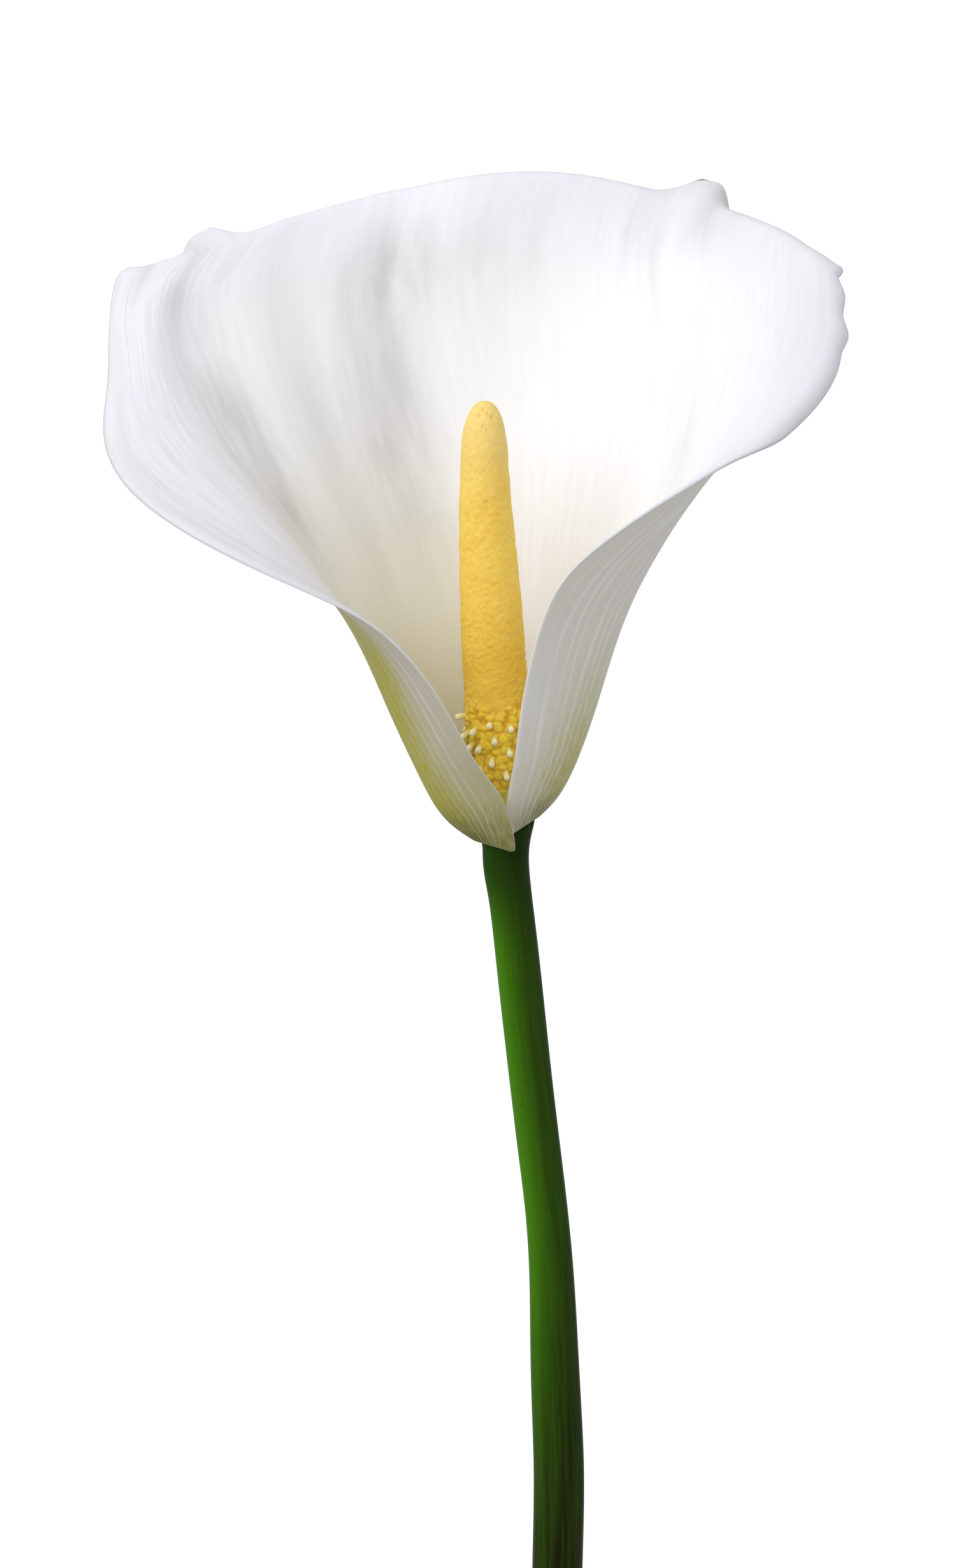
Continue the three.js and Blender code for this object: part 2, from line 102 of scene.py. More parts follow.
# Pleats that run up the petal along the veins: [vein, levels where it starts and ends, half width, mm high].
PLEATS = [
    [0.22, 0.25, 1, 0.045, -2.4], [0.285, 0.35, 0.95, 0.022, 0.5], [0.335, 0.35, 0.9, 0.018, -0.5],
    [0.43, 0.4, 1.1, 0.035, -1.6], [0.36, 0.6, 1.0, 0.02, 0.25], [0.6, 0.7, 1.1, 0.03, -0.3]]
PLEAT_FADE = 0.25
FINE_PLEATS = 40
FINE_PLEAT_SEED = 11

# Painted shade inside: soft grey bands along the veins, where the pleats fall in shade: [vein, levels where
# it starts and ends, half width, strength].
SHADE_BANDS = [
    [0, 0.15, 1.1, 0.045, 0.5], [0, 0.15, 0.46, 0.03, 0.45], [0.085, 0.84, 1.3, 0.018, 0.5],
    [0.1, 0.5, 0.95, 0.05, 0.1], [0.19, 0.75, 1.15, 0.03, 0.42], [0.23, 0.38, 0.78, 0.03, 0.78],
    [0.372, 0.45, 0.72, 0.022, 0.38], [0.52, 0.7, 0.98, 0.03, 0.42], [0.735, 0.78, 1.2, 0.022, 0.32],
    [0.83, 0.9, 1.3, 0.03, 0.3], [0.33, 0.3, 0.75, 0.03, 0.3],
    [0.36, 0.4, 0.75, 0.05, 0.2], [0.385, 0.3, 0.98, 0.025, 0.35], [0.43, 0.35, 0.98, 0.033, 0.6],
    [0.434, 0.74, 1.02, 0.03, 0.3], [0.462, 0.7, 1, 0.025, 0.75],
    [0.53, 0.8, 1.1, 0.035, 0.2], [0.585, 0.72, 1.05, 0.03, 0.22], [0.71, 0.75, 1.05, 0.008, 0.25],
    [0.71, 0.35, 0.65, 0.03, 0.12], [0.75, 0.7, 1, 0.007, 0.25], [0.8, 0.45, 0.8, 0.02, 0.25],
    [0.795, 0.85, 1.2, 0.018, 0.6], [0.99, 0.8, 1.3, 0.015, 0.35]]
BAND_FADE = 0.16

# Fine creases on the left lobe, drawn only as dark lines of painted shade: [vein, half width, levels where it
# starts and ends].
CREASES = [
    [0.038, 0.0022, 0.84, 1.02], [0.06, 0.0026, 0.62, 1.0], [0.105, 0.0016, 0.66, 0.92]]
CREASE_WANDER = 0.012
CREASE_RISE = 0.15
CREASE_FADE = 0.1

# Strengths of the green outside, on the left half of the petal and on the right one. The deep green of the
# foot is partly its own colour and partly painted shade where the wraps curve under.
MARGIN_GREEN = [0.6, 0.35]
FLANK_GREEN = [1.08, 0.82]
FLANK_GREEN_START = [0.22, 0.1]
FLANK_GREEN_END = [0.68, 0.4]
FOOT_GREEN = [0.85, 0.52]
FLANK_FOOT = [0.34, 0.4]
# Where the petal's colours and painted shades rise or fade: levels up it, then places across it, then mm from
# its edge.
MARGIN_GREEN_FADE = [-0.02, 0.28]
FOOT_FADE = [0, 0.09]
FLANK_FOOT_FADE = [0, 0.16]
LEFT_SHADE_FADE = [0.35, 0.6]
RIGHT_SHADE_RISE = [0.2, 0.4]
THROAT_FADE = [0.15, 0.7]
LOBE_RISE = [0.35, 0.5]
THROAT_LEFT = [0.08, 0.3]
THROAT_RIGHT = [0.42, 0.6]
LOBE_ACROSS = [0.1, 0.3]
LOBE_INSET = [2, 10]
COOL_INSET = [4, 32]

# Sizes in mm of the sheet, then the rows and columns of its grid, which are closer where its base is round.
BASE_THICKNESS = 0.9
RIM_THICKNESS = 0.6
EDGE_ROUNDING = 1.1
EDGE_THICKNESS = 0.12
CELLS_ACROSS = 200
BASE_ROWS = [0, 0.0004, 0.0009, 0.0016, 0.0024, *np.linspace(0.0034, 0.03, 12)]
ROWS_START = 0.036
ROWS_UP = 154
CELLS_IN_ROLL = 14
ROLL_EASE = 1.6

# Stem: [x, y, z, radius] in mm from the cut end to the shoulder, then the neck that the spathe wraps.
STEM = [
    [9.5, -169, 4.5, 4.9], [9.5, -166.5, 4.7, 4.9], [9.8, -141, 9.2, 4.9], [10, -121, 12.2, 4.9],
    [9.5, -108.5, 14.5, 4.8], [9, -96, 17, 4.6], [8.5, -83.5, 19.5, 4.3], [7.5, -71, 22, 4.1],
    [6, -58.5, 24.4, 4.1], [4.5, -46, 26.7, 4.1], [1.85, -22, 31, 4.15], [0.33, -9.5, 33.6, 4.13],
    [-0.25, -3, 34.8, 4.45], [0.15, 0.68, 35.2, 5]]
NECK = [[-0.4, 0.78, 35.3, 3.1], [-0.7, 1.8, 35.7, 3.1], [-0.8, 2.6, 36, 3]]
# The shoulder climbs to the right, as the foot of the spathe does: this much along for each millimetre
# across, this much more for each square millimetre, and this much for each millimetre up.
SHOULDER_LEAN = 0.5
SHOULDER_CURL = 0.033
SHOULDER_TILT = 0.11
# It starts this far below the shoulder's top, and the last two rings of the neck keep these shares of it.
SHOULDER_REACH = 14
NECK_SLANT = [0.4, 0]
# Rings of the cut face, as shares of its radius.
CUT_RINGS = [0.15, 0.45, 0.75, 0.92]
CUT_ROUNDING = 0.4
STEM_RINGS = 240
STEM_SIDES = 72
# Faint ribs run the whole length: [height in mm, count round the stem, phase]. All sink by RIB_SINK mm.
STEM_RIBS = [[0.035, 9, 0.4], [0.03, 14, 2]]
RIB_SINK = 0.05
# Its colours: degrees from its right side to its flank of painted shade, mm from the cut where its
# darkening starts to fade and has gone, and mm below the shoulder where the flower's painted shade
# starts and is full.
DARK_SIDE = 28
DARKENING_END = [28, 108]
SHADE_START = 26
SHADE_FULL = 2
# Fibres and specks are finer on the plant and are drawn 0.9 and 0.7 mm wide, so that they show. Fibres
# are drawn out: a millimetre along the stem counts as FIBRE_STRETCH across.
FIBRE_WIDTH = 0.909
FIBRE_STRETCH = 0.035
SPECK = 0.714

# Spadix: centre line in mm from foot to tip, and its radius at shares of its length.
SPADIX_LINE = [
    [-0.9, 3.3, 36.1], [-1.6, 17, 39], [-2.5, 33, 41], [-3.2, 45, 42.3], [-4, 59, 43.5],
    [-4.4, 73, 44.5], [-4.3, 82.3, 45]]
SPADIX_KNOTS = [(y - SPADIX_LINE[0][1]) / (SPADIX_LINE[-1][1] - SPADIX_LINE[0][1]) for _, y, _ in SPADIX_LINE]
SPADIX_RADIUS = [
    [0, 2.9], [0.035, 3.9], [0.09, 4.9], [0.16, 5.5], [0.26, 5.85], [0.4, 5.9], [0.52, 5.75],
    [0.7, 5.15], [0.86, 4.45]]
DOME_START = 0.86
DOME_END = 0.998
# Rings: even ones along the body, then ones that close up over the last TIP_REACH. Radii are in mm.
SPADIX_SIDES = 232
SPADIX_RINGS = 352
TIP_RINGS = 61
TIP_REACH = 0.095
TIP_RADIUS = 4
TIP_CLOSE = 0.02
# Shares of its length where the ovaries end, where the anthers stop being crisp, where the bumps and
# the bare foot start and end, and where the paler bloom of the tip and the riper anthers lie.
OVARIES_END = [0.25, 0.31]
CRISP_END = [0.32, 0.66]
BUMPS_START = [0.07, 0.1]
BUMPS_END = [0.955, 0.985]
FOOT_END = [0.075, 0.1]
BLOOM_START = [0.7, 0.98]
RIPE_START = [0.24, 0.32]
RIPE_END = [0.36, 0.62]
OVARY_HEIGHT = 0.5
PIT_DEPTH = 0.22
MOTTLE_WAVES = 40
PACKED_ROWS = 400
# Pollen lies in clumps, drawn 1.1 mm wide so that they show, and in patches 6 mm wide.
POLLEN_CLUMP = 1.11
POLLEN_PATCH = 6.25
# Orange pits near the tip of the spadix: [share of its length, turn round it, radius in mm].
PITS = [
    [0.975, 0.27, 0.5], [0.968, 0.22, 0.35], [0.962, 0.31, 0.5], [0.958, 0.18, 0.45],
    [0.935, 0.26, 0.3], [0.928, 0.235, 0.3], [0.76, 0.245, 0.25]]

# Stubs that show at the front: [share of the spadix, turn round it from its right side, droop, mm long].
STUBS = [
    [0.262, 0.47, 0.1, 2.3], [0.238, 0.37, 0.45, 2.2], [0.226, 0.44, 0.4, 2.4], [0.212, 0.46, 0.35, 2],
    [0.198, 0.35, 0.5, 1.9], [0.242, 0.19, 0.6, 1.7], [0.228, 0.1, 0.5, 1.7], [0.216, 0.27, 0.6, 1.7],
    [0.188, 0.2, 0.65, 1.8], [0.176, 0.11, 0.5, 1.7], [0.168, 0.29, 0.65, 1.9], [0.15, 0.36, 0.6, 1.7],
    [0.14, 0.22, 0.75, 2.1], [0.248, 0.29, 0.4, 1.4], [0.2, 0.41, 0.5, 1.8], [0.158, 0.16, 0.6, 1.6],
    [0.205, 0.14, 0.5, 1.4], [0.182, 0.43, 0.5, 1.7]]
HIDDEN_STUBS = 20
STUB_SEED = 7
STUB_SIDES = 16
STUB_SUNK = 0.5
STUB_BOW = 0.35
# Profile of a stub: [share of its length, radius in mm], a post that swells a little to a round head.
STUB_PROFILE = [
    [0, 0.55], [0.25, 0.54], [0.45, 0.55], [0.6, 0.59], [0.7, 0.62], [0.78, 0.61], [0.86, 0.55],
    [0.92, 0.44], [0.97, 0.28], [1, 0.03]]

# Stage, in metres and watts: the floor lies a hair under the flower, and the window shines on its funnel.
FLOOR_HALF = 6
FLOOR_BELOW = 5e-5
SKY_STRENGTH = 0.52
WINDOW_DIRECTION = [-0.45, 0.55, 0.7]
WINDOW_TARGET = [0, 0.06, 0.03]
WINDOW_DISTANCE = 1.4
WINDOW_WIDTH = 1.8
WINDOW_POWER = 15.4
# Camera: its place in mm, its lens and sensor in mm, and how far it sees in metres.
CAMERA_PLACE = [0.58, 30.62, 936]
LENS = 109.62
SENSOR = 36
CAMERA_REACH = 20


def smoothstep(low, high, at):
    """Share of the way from low to high, eased at both ends: 3t^2 - 2t^3."""
    share = np.clip((np.asarray(at, float) - low) / (high - low), 0, 1)
    return share * share * (3 - 2 * share)


def unit(vectors):
    """Vectors divided by their lengths."""
    return vectors / np.maximum(np.linalg.norm(vectors, axis=-1, keepdims=True), 1e-12)


def curve_through(knots, points, at):
    """Natural cubic curve through points at knots, read at the places in at.

    Between two knots it is a straight blend a, b of the points plus (a^3 - a) and (b^3 - b) times
    the bends there, and the bends are what keeps the slope continuous, with none at the ends.
    """
    knots = np.asarray(knots, float)
    points = np.asarray(points, float)
    flat = points.reshape(len(knots), -1)
    gap = np.diff(knots)
    inner = np.arange(1, len(knots) - 1)
    system = np.eye(len(knots))
    system[inner, inner - 1] = gap[:-1]
    system[inner, inner] = 2 * (gap[:-1] + gap[1:])
    system[inner, inner + 1] = gap[1:]
    slope = np.diff(flat, axis=0) / gap[:, None]
    load = np.zeros_like(flat)
    load[1:-1] = 6 * np.diff(slope, axis=0)
    bend = np.linalg.solve(system, load)
    at = np.asarray(at, float)
    i = np.clip(np.searchsorted(knots, at, side="right") - 1, 0, len(knots) - 2)
    b = ((at - knots[i]) / gap[i])[:, None]
    a = 1 - b
    square = (gap[i] ** 2)[:, None] / 6
    curve = a * flat[i] + b * flat[i + 1]
    curve += square * ((a ** 3 - a) * bend[i] + (b ** 3 - b) * bend[i + 1])
    return curve.reshape(len(at), *points.shape[1:])


def eased(table, at):
    """Columns of a table of stations at the places in at, eased from one station to the next."""
    table = np.asarray(table, float)
    i = np.clip(np.searchsorted(table[:, 0], at, side="right") - 1, 0, len(table) - 2)
    share = smoothstep(0, 1, (at - table[i, 0]) / (table[i + 1, 0] - table[i, 0]))
    return [table[i, k] + (table[i + 1, k] - table[i, k]) * share for k in range(1, table.shape[1])]


def grid_normals(grid):
    """Unit normals of a grid of points: direction across its rows, crossed with direction up its columns."""
    across = unit(np.gradient(grid, axis=1))
    up = unit(np.gradient(grid, axis=0))
    return unit(np.cross(across, up))


def grid_faces(rows, columns, first=0, flip=False):
    """Quads of a grid of rows x columns points that are numbered from first."""
    i, j = np.meshgrid(np.arange(rows - 1), np.arange(columns - 1), indexing="ij")
    corner = first + i * columns + j
    quads = np.stack([corner, corner + 1, corner + columns + 1, corner + columns], -1).reshape(-1, 4)
    return quads[:, ::-1] if flip else quads


def waves(at, seed, count, longest, shortest):
    """Sum of count sine waves with seeded lengths and phases, between about -1 and 1."""
    draw = np.random.default_rng(seed)
    length = np.exp(draw.uniform(math.log(shortest), math.log(longest), count))
    phase = draw.uniform(0, 2 * math.pi, count)
    at = np.asarray(at, float)[..., None]
    return np.sin(2 * math.pi * at / length + phase).sum(-1) / math.sqrt(count)


def make_piece(name, points, faces, attributes, material, node):
    """Smooth mesh of points in mm and lists of faces, with its attributes, standing for a CAD node."""
    mesh = bpy.data.meshes.new(name)
    places = (points + TO_MIDDLE) * MM
    mesh.from_pydata(places.tolist(), [], [face for part in faces for face in part.tolist()])
    for label, values in attributes.items():
        values = np.asarray(values, np.float32)
        kind, field = ("FLOAT", "value") if values.ndim == 1 else ("FLOAT_VECTOR", "vector")
        mesh.attributes.new(label, kind, "POINT").data.foreach_set(field, values.ravel())
    mesh.shade_smooth()
    mesh.materials.append(material)
    mesh.update()
    piece = bpy.data.objects.new(name, mesh)
    bpy.context.scene.collection.objects.link(piece)
    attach(piece, "root")
    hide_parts(node)


def linear(colour):
    """sRGB hex colour as linear red, green, blue and alpha."""
    channels = [int(colour[i:i + 2], 16) / 255 for i in (1, 3, 5)]
    return [c / 12.92 if c <= 0.04045 else ((c + 0.055) / 1.055) ** 2.4 for c in channels] + [1]


# Settings that many of the nodes below share.
COLOURS = {"data_type": "RGBA"}
SMOOTH = {"interpolation_type": "SMOOTHSTEP"}
TIMES = {"operation": "MULTIPLY"}
TIMES_PLUS = {"operation": "MULTIPLY_ADD"}
TIMES_CLAMPED = {"operation": "MULTIPLY", "use_clamp": True}


def add(tree, kind, settings=None, links=None, out=0):
    """Adds one node and gives its output out; links give its sockets a value or another node's output.

    Sockets go by name or number. A Mix of colours takes its share at 0 and the colours at 6 and 7,
    and gives the mix at 2. A MapRange takes a value at 0 and its range at 1 and 2, and gives the
    range from 3 to 4.
    """
    made = tree.nodes.new("ShaderNode" + kind)
    for name, value in (settings or {}).items():
        setattr(made, name, value)
    for name, value in (links or {}).items():
        if isinstance(value, bpy.types.NodeSocket):
            tree.links.new(value, made.inputs[name])
        else:
            made.inputs[name].default_value = value
    return made.outputs[out]


def new_material(name, settings):
    """Material with one Principled shader, whose constant sockets are set straight from settings."""
    material = bpy.data.materials.new(name)
    material.use_nodes = True
    shader = material.node_tree.nodes["Principled BSDF"]
    for socket, value in settings.items():
        shader.inputs[socket].default_value = value
    return material, material.node_tree, shader


def petal_material():
    """Fresh spathe, grown: thin, waxy and a little translucent, white with veins and a green foot.

    The wax gives a soft satin light, the thinness lets light through, so shadows stay pale. Inside
    it is white with long faint grey streaks, partly threads of the skin and partly painted shade of the
    pleats, dark crease lines and a cool tint at the rim that are painted shade, and a cream throat that
    is partly painted shade deep in the funnel; outside the veins are whitish lines 1 to 2 mm apart on
    pearl grey, darkened on the wraps by painted shade, that turns green and speckled towards the stem,
    its deep green at the foot partly painted shade. A thin grey line of painted shade runs along the edge.
    """
    material, tree, shader = new_material("waxy_white_spathe_grown", {
        "Roughness": 0.46, "IOR": 1.4, "Subsurface Weight": 0.3, "Subsurface Scale": MM,
        "Subsurface Radius": (1.6, 1.6, 1.4), "Coat Weight": 0.04, "Coat Roughness": 0.5})
    sheet = add(tree, "Attribute", {"attribute_name": "sheet"}, out="Vector")
    outer, green, outer_shade, foot, cream, grey, lobe, cool_rim_shade, hem, level, vein_number = [
        add(tree, "Attribute", {"attribute_name": name}, out="Fac") for name in (
            "outer", "green", "outer_shade", "foot", "cream", "grey", "lobe", "cool_rim_shade", "hem", "level", "vein")]
    grains = []
    for width, length, detail, rough in PETAL_GRAINS:
        cells = add(tree, "VectorMath", TIMES, {0: sheet, 1: (1 / width, 1 / length, 1)})
        grains.append(add(tree, "TexNoise", {}, {
            "Vector": cells, "Scale": 1, "Detail": detail, "Roughness": rough}))
    wander, gap, band, thread, dash = grains

    # Veins: VEINS soft lines across, so 1.5 mm apart on the wraps and 2.6 mm near the rim, each wandering.
    moved = add(tree, "Math", TIMES_PLUS, {0: wander, 1: VEIN_WANDER, 2: vein_number})
    count = add(tree, "Math", TIMES, {0: moved, 1: VEINS})
    away = add(tree, "Math", {"operation": "PINGPONG"}, {0: count, 1: 0.5})
    line = add(tree, "MapRange", SMOOTH, {0: away, 1: 0.01, 2: 0.2, 3: 1, 4: 0})
    strong = add(tree, "MapRange", {}, {0: gap, 1: 0.35, 2: 0.65, 3: 0.5, 4: 1})
    inset = add(tree, "MapRange", SMOOTH, {0: hem, 1: 2, 2: 6, 3: 0.15, 4: 1})
    clear = add(tree, "Math", TIMES, {0: strong, 1: inset})
    vein = add(tree, "Math", TIMES, {0: line, 1: clear})
    streak = add(tree, "MapRange", {}, {0: band, 1: 0.35, 2: 0.7})
    strand = add(tree, "MapRange", {}, {0: thread, 1: 0.35, 2: 0.7})

    # Fine creases run down from the corner of the left lobe as dark lines of painted shade, each thinning out
    # towards its ends.
    shaken = add(tree, "Math", TIMES_PLUS, {0: wander, 1: CREASE_WANDER, 2: vein_number})
    crease = 0.0
    for place, half, start, end in CREASES:
        aside = add(tree, "Math", {"operation": "SUBTRACT"}, {0: shaken, 1: place + CREASE_WANDER / 2})
        size = add(tree, "Math", {"operation": "ABSOLUTE"}, {0: aside})
        line = add(tree, "MapRange", SMOOTH, {0: size, 1: 0, 2: half, 3: 1, 4: 0})
        rising = add(tree, "MapRange", SMOOTH, {0: level, 1: start, 2: start + CREASE_RISE})
        ending = add(tree, "MapRange", SMOOTH, {0: level, 1: end - CREASE_FADE, 2: end, 3: 1, 4: 0})
        faded = add(tree, "Math", TIMES, {0: rising, 1: ending})
        drawn = add(tree, "Math", TIMES, {0: line, 1: faded})
        crease = add(tree, "Math", {"operation": "MAXIMUM"}, {0: drawn, 1: crease})

    # Inside: white, with a cool tint of painted shade towards the rim, under grey streaks (threads of the
    # skin and painted shade of the pleats), crease lines of painted shade and the cream of the throat, partly
    # painted shade deep in the funnel.
    uneven = add(tree, "MapRange", {}, {0: streak, 3: 0.55, 4: 1.45})
    shaded = add(tree, "Math", TIMES, {0: grey, 1: uneven})
    threads = add(tree, "Math", TIMES_PLUS, {0: strand, 1: 0.15, 2: shaded})
    fanned = add(tree, "Math", TIMES, {0: strand, 1: lobe})
    streaks = add(tree, "Math", {**TIMES_PLUS, "use_clamp": True}, {0: fanned, 1: 0.25, 2: threads})
    # Painted shade in the creases.
    crease_shade = add(tree, "Math", TIMES, {0: crease, 1: 0.5})
    # Painted shade: a cooler, slightly darker bluish tint towards the rim, where the sheet curls away from
    # the light.
    inside = add(tree, "Mix", COLOURS, {0: cool_rim_shade, 6: linear("#FCFCFC"), 7: linear("#F3F5FB")}, 2)
    for share, colour in [(streaks, "#D4D3D3"), (crease_shade, "#C2C2CA"), (cream, "#CFCBAE")]:
        inside = add(tree, "Mix", COLOURS, {0: share, 6: inside, 7: linear(colour)}, 2)

    # Outside: pearl, darkened by painted shade low on the left wrap and higher up on the right one, under
    # yellow green and deep green in short dashes, the deep green partly painted shade at the foot, and the
    # pale veins, fainter where the shade is painted.
    patchy = add(tree, "MapRange", {}, {0: dash, 1: 0.3, 2: 0.65, 3: 0.55, 4: 1.15})
    flesh = add(tree, "Math", TIMES_CLAMPED, {0: green, 1: patchy})
    deep = add(tree, "Math", TIMES_CLAMPED, {0: foot, 1: patchy})
    faint = add(tree, "MapRange", {}, {0: green, 1: 0, 2: 0.8, 3: 0.85, 4: 0.24})
    calm = add(tree, "MapRange", {}, {0: outer_shade, 3: 1, 4: 0.5})
    fading = add(tree, "Math", TIMES, {0: calm, 1: faint})
    pale = add(tree, "Math", TIMES, {0: vein, 1: fading})
    outside = add(tree, "Mix", COLOURS, {0: outer_shade, 6: linear("#F2F0E9"), 7: linear("#CEC8B4")}, 2)
    for share, colour in [(flesh, "#B6B012"), (deep, "#62641A"), (pale, "#FEFDF6")]:
        outside = add(tree, "Mix", COLOURS, {0: share, 6: outside, 7: linear(colour)}, 2)

    # Painted shade: the edge itself shows as a thin grey line, from the wraps upwards.
    skin = add(tree, "Mix", COLOURS, {0: outer, 6: inside, 7: outside}, 2)
    thin = add(tree, "MapRange", SMOOTH, {0: hem, 1: 0, 2: 0.7, 3: 0.9, 4: 0})
    spread = add(tree, "MapRange", SMOOTH, {0: level, 1: 0.3, 2: 0.5})
    rim = add(tree, "Math", TIMES, {0: thin, 1: spread})
    edged = add(tree, "Mix", COLOURS, {0: rim, 6: skin, 7: linear("#C6CACF")}, 2)
    tree.links.new(edged, shader.inputs["Base Color"])

    # Outside, the veins stand a tenth of a millimetre proud, with fine ridges of the skin between them.
    ridge = add(tree, "Math", TIMES_PLUS, {0: strand, 1: 0.5, 2: vein})
    proud = add(tree, "MapRange", {}, {0: outer, 3: 0.12, 4: 1})
    raised = add(tree, "Math", TIMES, {0: ridge, 1: proud})
    bump = add(tree, "Bump", {}, {"Strength": 0.35, "Distance": 0.12 * MM, "Height": raised})
    tree.links.new(bump, shader.inputs["Normal"])
    return material


def spadix_material():
    """Spadix, grown: packed anthers under a dust of golden pollen, so it looks dry and matt.

    Hollows between the anthers and the ovaries are deeper orange and crowns are paler, partly their own
    colour and partly painted shade in the hollows, and the foot is bare green.
    """
    material, tree, shader = new_material("golden_pollen_spadix_grown", {
        "Roughness": 0.68, "IOR": 1.45, "Specular IOR Level": 0.25, "Subsurface Weight": 0.3,
        "Subsurface Scale": MM, "Subsurface Radius": (1.2, 0.8, 0.25)})
    raised, shade, ovary, foot, pit, bloom, ripe = [
        add(tree, "Attribute", {"attribute_name": name}, out="Fac") for name in (
            "raised", "shade", "ovary", "foot", "pit", "bloom", "ripe")]
    place = add(tree, "TexCoord", out="Object")
    dust = add(tree, "TexNoise", {}, {
        "Vector": place, "Scale": 1 / (POLLEN_CLUMP * MM), "Detail": 3, "Roughness": 0.6})
    patch = add(tree, "TexNoise", {}, {"Vector": place, "Scale": 1 / (POLLEN_PATCH * MM), "Detail": 2})
    varied = add(tree, "Math", TIMES, {0: shade, 1: 0.35})
    dusty = add(tree, "MapRange", {}, {0: dust, 1: 0.4, 2: 0.75, 3: 0, 4: 0.35})
    warm = add(tree, "MapRange", {}, {0: patch, 1: 0.4, 2: 0.8, 3: 0, 4: 0.4})
    # Partly painted shade: lower places between the bumps take the deeper gold, crowns the paler.
    anther = add(tree, "Mix", COLOURS, {0: raised, 6: linear("#F2BE3C"), 7: linear("#FDDC6C")}, 2)
    seed = add(tree, "Mix", COLOURS, {0: raised, 6: linear("#D6A60E"), 7: linear("#FBE040")}, 2)
    gold = add(tree, "Mix", COLOURS, {0: ovary, 6: anther, 7: seed}, 2)
    # Over the gold: each bump's own tone, dust, warm patches, riper anthers low down, pits, tip and foot.
    for share, colour in [
            (varied, "#EFC034"), (dusty, "#FEDF84"), (warm, "#EBB42A"), (ripe, "#DCAC1C"),
            (pit, "#EBAA2E"), (bloom, "#FFE6A0"), (foot, "#DCDA60")]:
        gold = add(tree, "Mix", COLOURS, {0: share, 6: gold, 7: linear(colour)}, 2)
    tree.links.new(gold, shader.inputs["Base Color"])
    bump = add(tree, "Bump", {}, {"Strength": 0.4, "Distance": 0.1 * MM, "Height": dust})
    tree.links.new(bump, shader.inputs["Normal"])
    return material


def stub_material():
    """Cream stubs among the ovaries, grown: wet, soft and translucent, with a glint on each head."""
    material, tree, shader = new_material("cream_stub_grown", {
        "Roughness": 0.3, "IOR": 1.4, "Subsurface Weight": 0.4, "Subsurface Scale": MM,
        "Subsurface Radius": (0.9, 0.8, 0.5)})
    head = add(tree, "Attribute", {"attribute_name": "head"}, out="Fac")
    cream = add(tree, "Mix", COLOURS, {0: head, 6: linear("#E8D872"), 7: linear("#F6EFC2")}, 2)
    tree.links.new(cream, shader.inputs["Base Color"])
    return material


def stem_material():
    """Arum stalk, grown: smooth satin green skin over spongy flesh, with faint lengthwise fibres.

    One flank is a lighter green and the other darker, which is painted light and shade, and it turns
    darker and browner towards the cut end. Below the shoulder it is darkened by painted shade. The cut
    shows pale wet flesh with a green rim.
    """
    material, tree, shader = new_material("satin_green_stalk_grown", {
        "Roughness": 0.42, "IOR": 1.42, "Specular IOR Level": 0.06, "Subsurface Weight": 0.08,
        "Subsurface Scale": MM, "Subsurface Radius": (0.6, 1.2, 0.3)})
    fibre = add(tree, "Attribute", {"attribute_name": "fibre"}, out="Vector")
    painted_light_side, darker_near_cut, shaded, flesh = [
        add(tree, "Attribute", {"attribute_name": name}, out="Fac") for name in (
            "painted_light_side", "darker_near_cut", "shaded", "flesh")]
    fibres = add(tree, "TexNoise", {}, {
        "Vector": fibre, "Scale": 1 / FIBRE_WIDTH, "Detail": 3, "Roughness": 0.6})
    place = add(tree, "TexCoord", out="Object")
    specks = add(tree, "TexNoise", {}, {"Vector": place, "Scale": 1 / (SPECK * MM), "Detail": 2})
    fibred = add(tree, "MapRange", {}, {0: fibres, 1: 0.35, 2: 0.7, 3: 0, 4: 0.22})
    speckled = add(tree, "MapRange", {}, {0: specks, 1: 0.55, 2: 0.75, 3: 0, 4: 0.25})
    # Painted light and shade: the lit flank lighter green, the other darker.
    skin = add(tree, "Mix", COLOURS, {0: painted_light_side, 6: linear("#26400A"), 7: linear("#4A8A08")}, 2)
    for share, colour in [
            (darker_near_cut, "#1B1C07"), (fibred, "#55801C"), (shaded, "#1C3008"),
            (speckled, "#1C3A0C"), (flesh, "#D5DDB0")]:
        skin = add(tree, "Mix", COLOURS, {0: share, 6: skin, 7: linear(colour)}, 2)
    tree.links.new(skin, shader.inputs["Base Color"])
    bump = add(tree, "Bump", {}, {"Strength": 0.25, "Distance": 0.1 * MM, "Height": fibres})
    tree.links.new(bump, shader.inputs["Normal"])
    return material


def vein_at(place, level):
    """Which vein, 0 to 1 across, runs through a place: the place plus its lean, eased in up the sheet."""
    return place + eased(VEIN_LEAN, place)[0] * smoothstep(LEAN_START, LEAN_END, level)


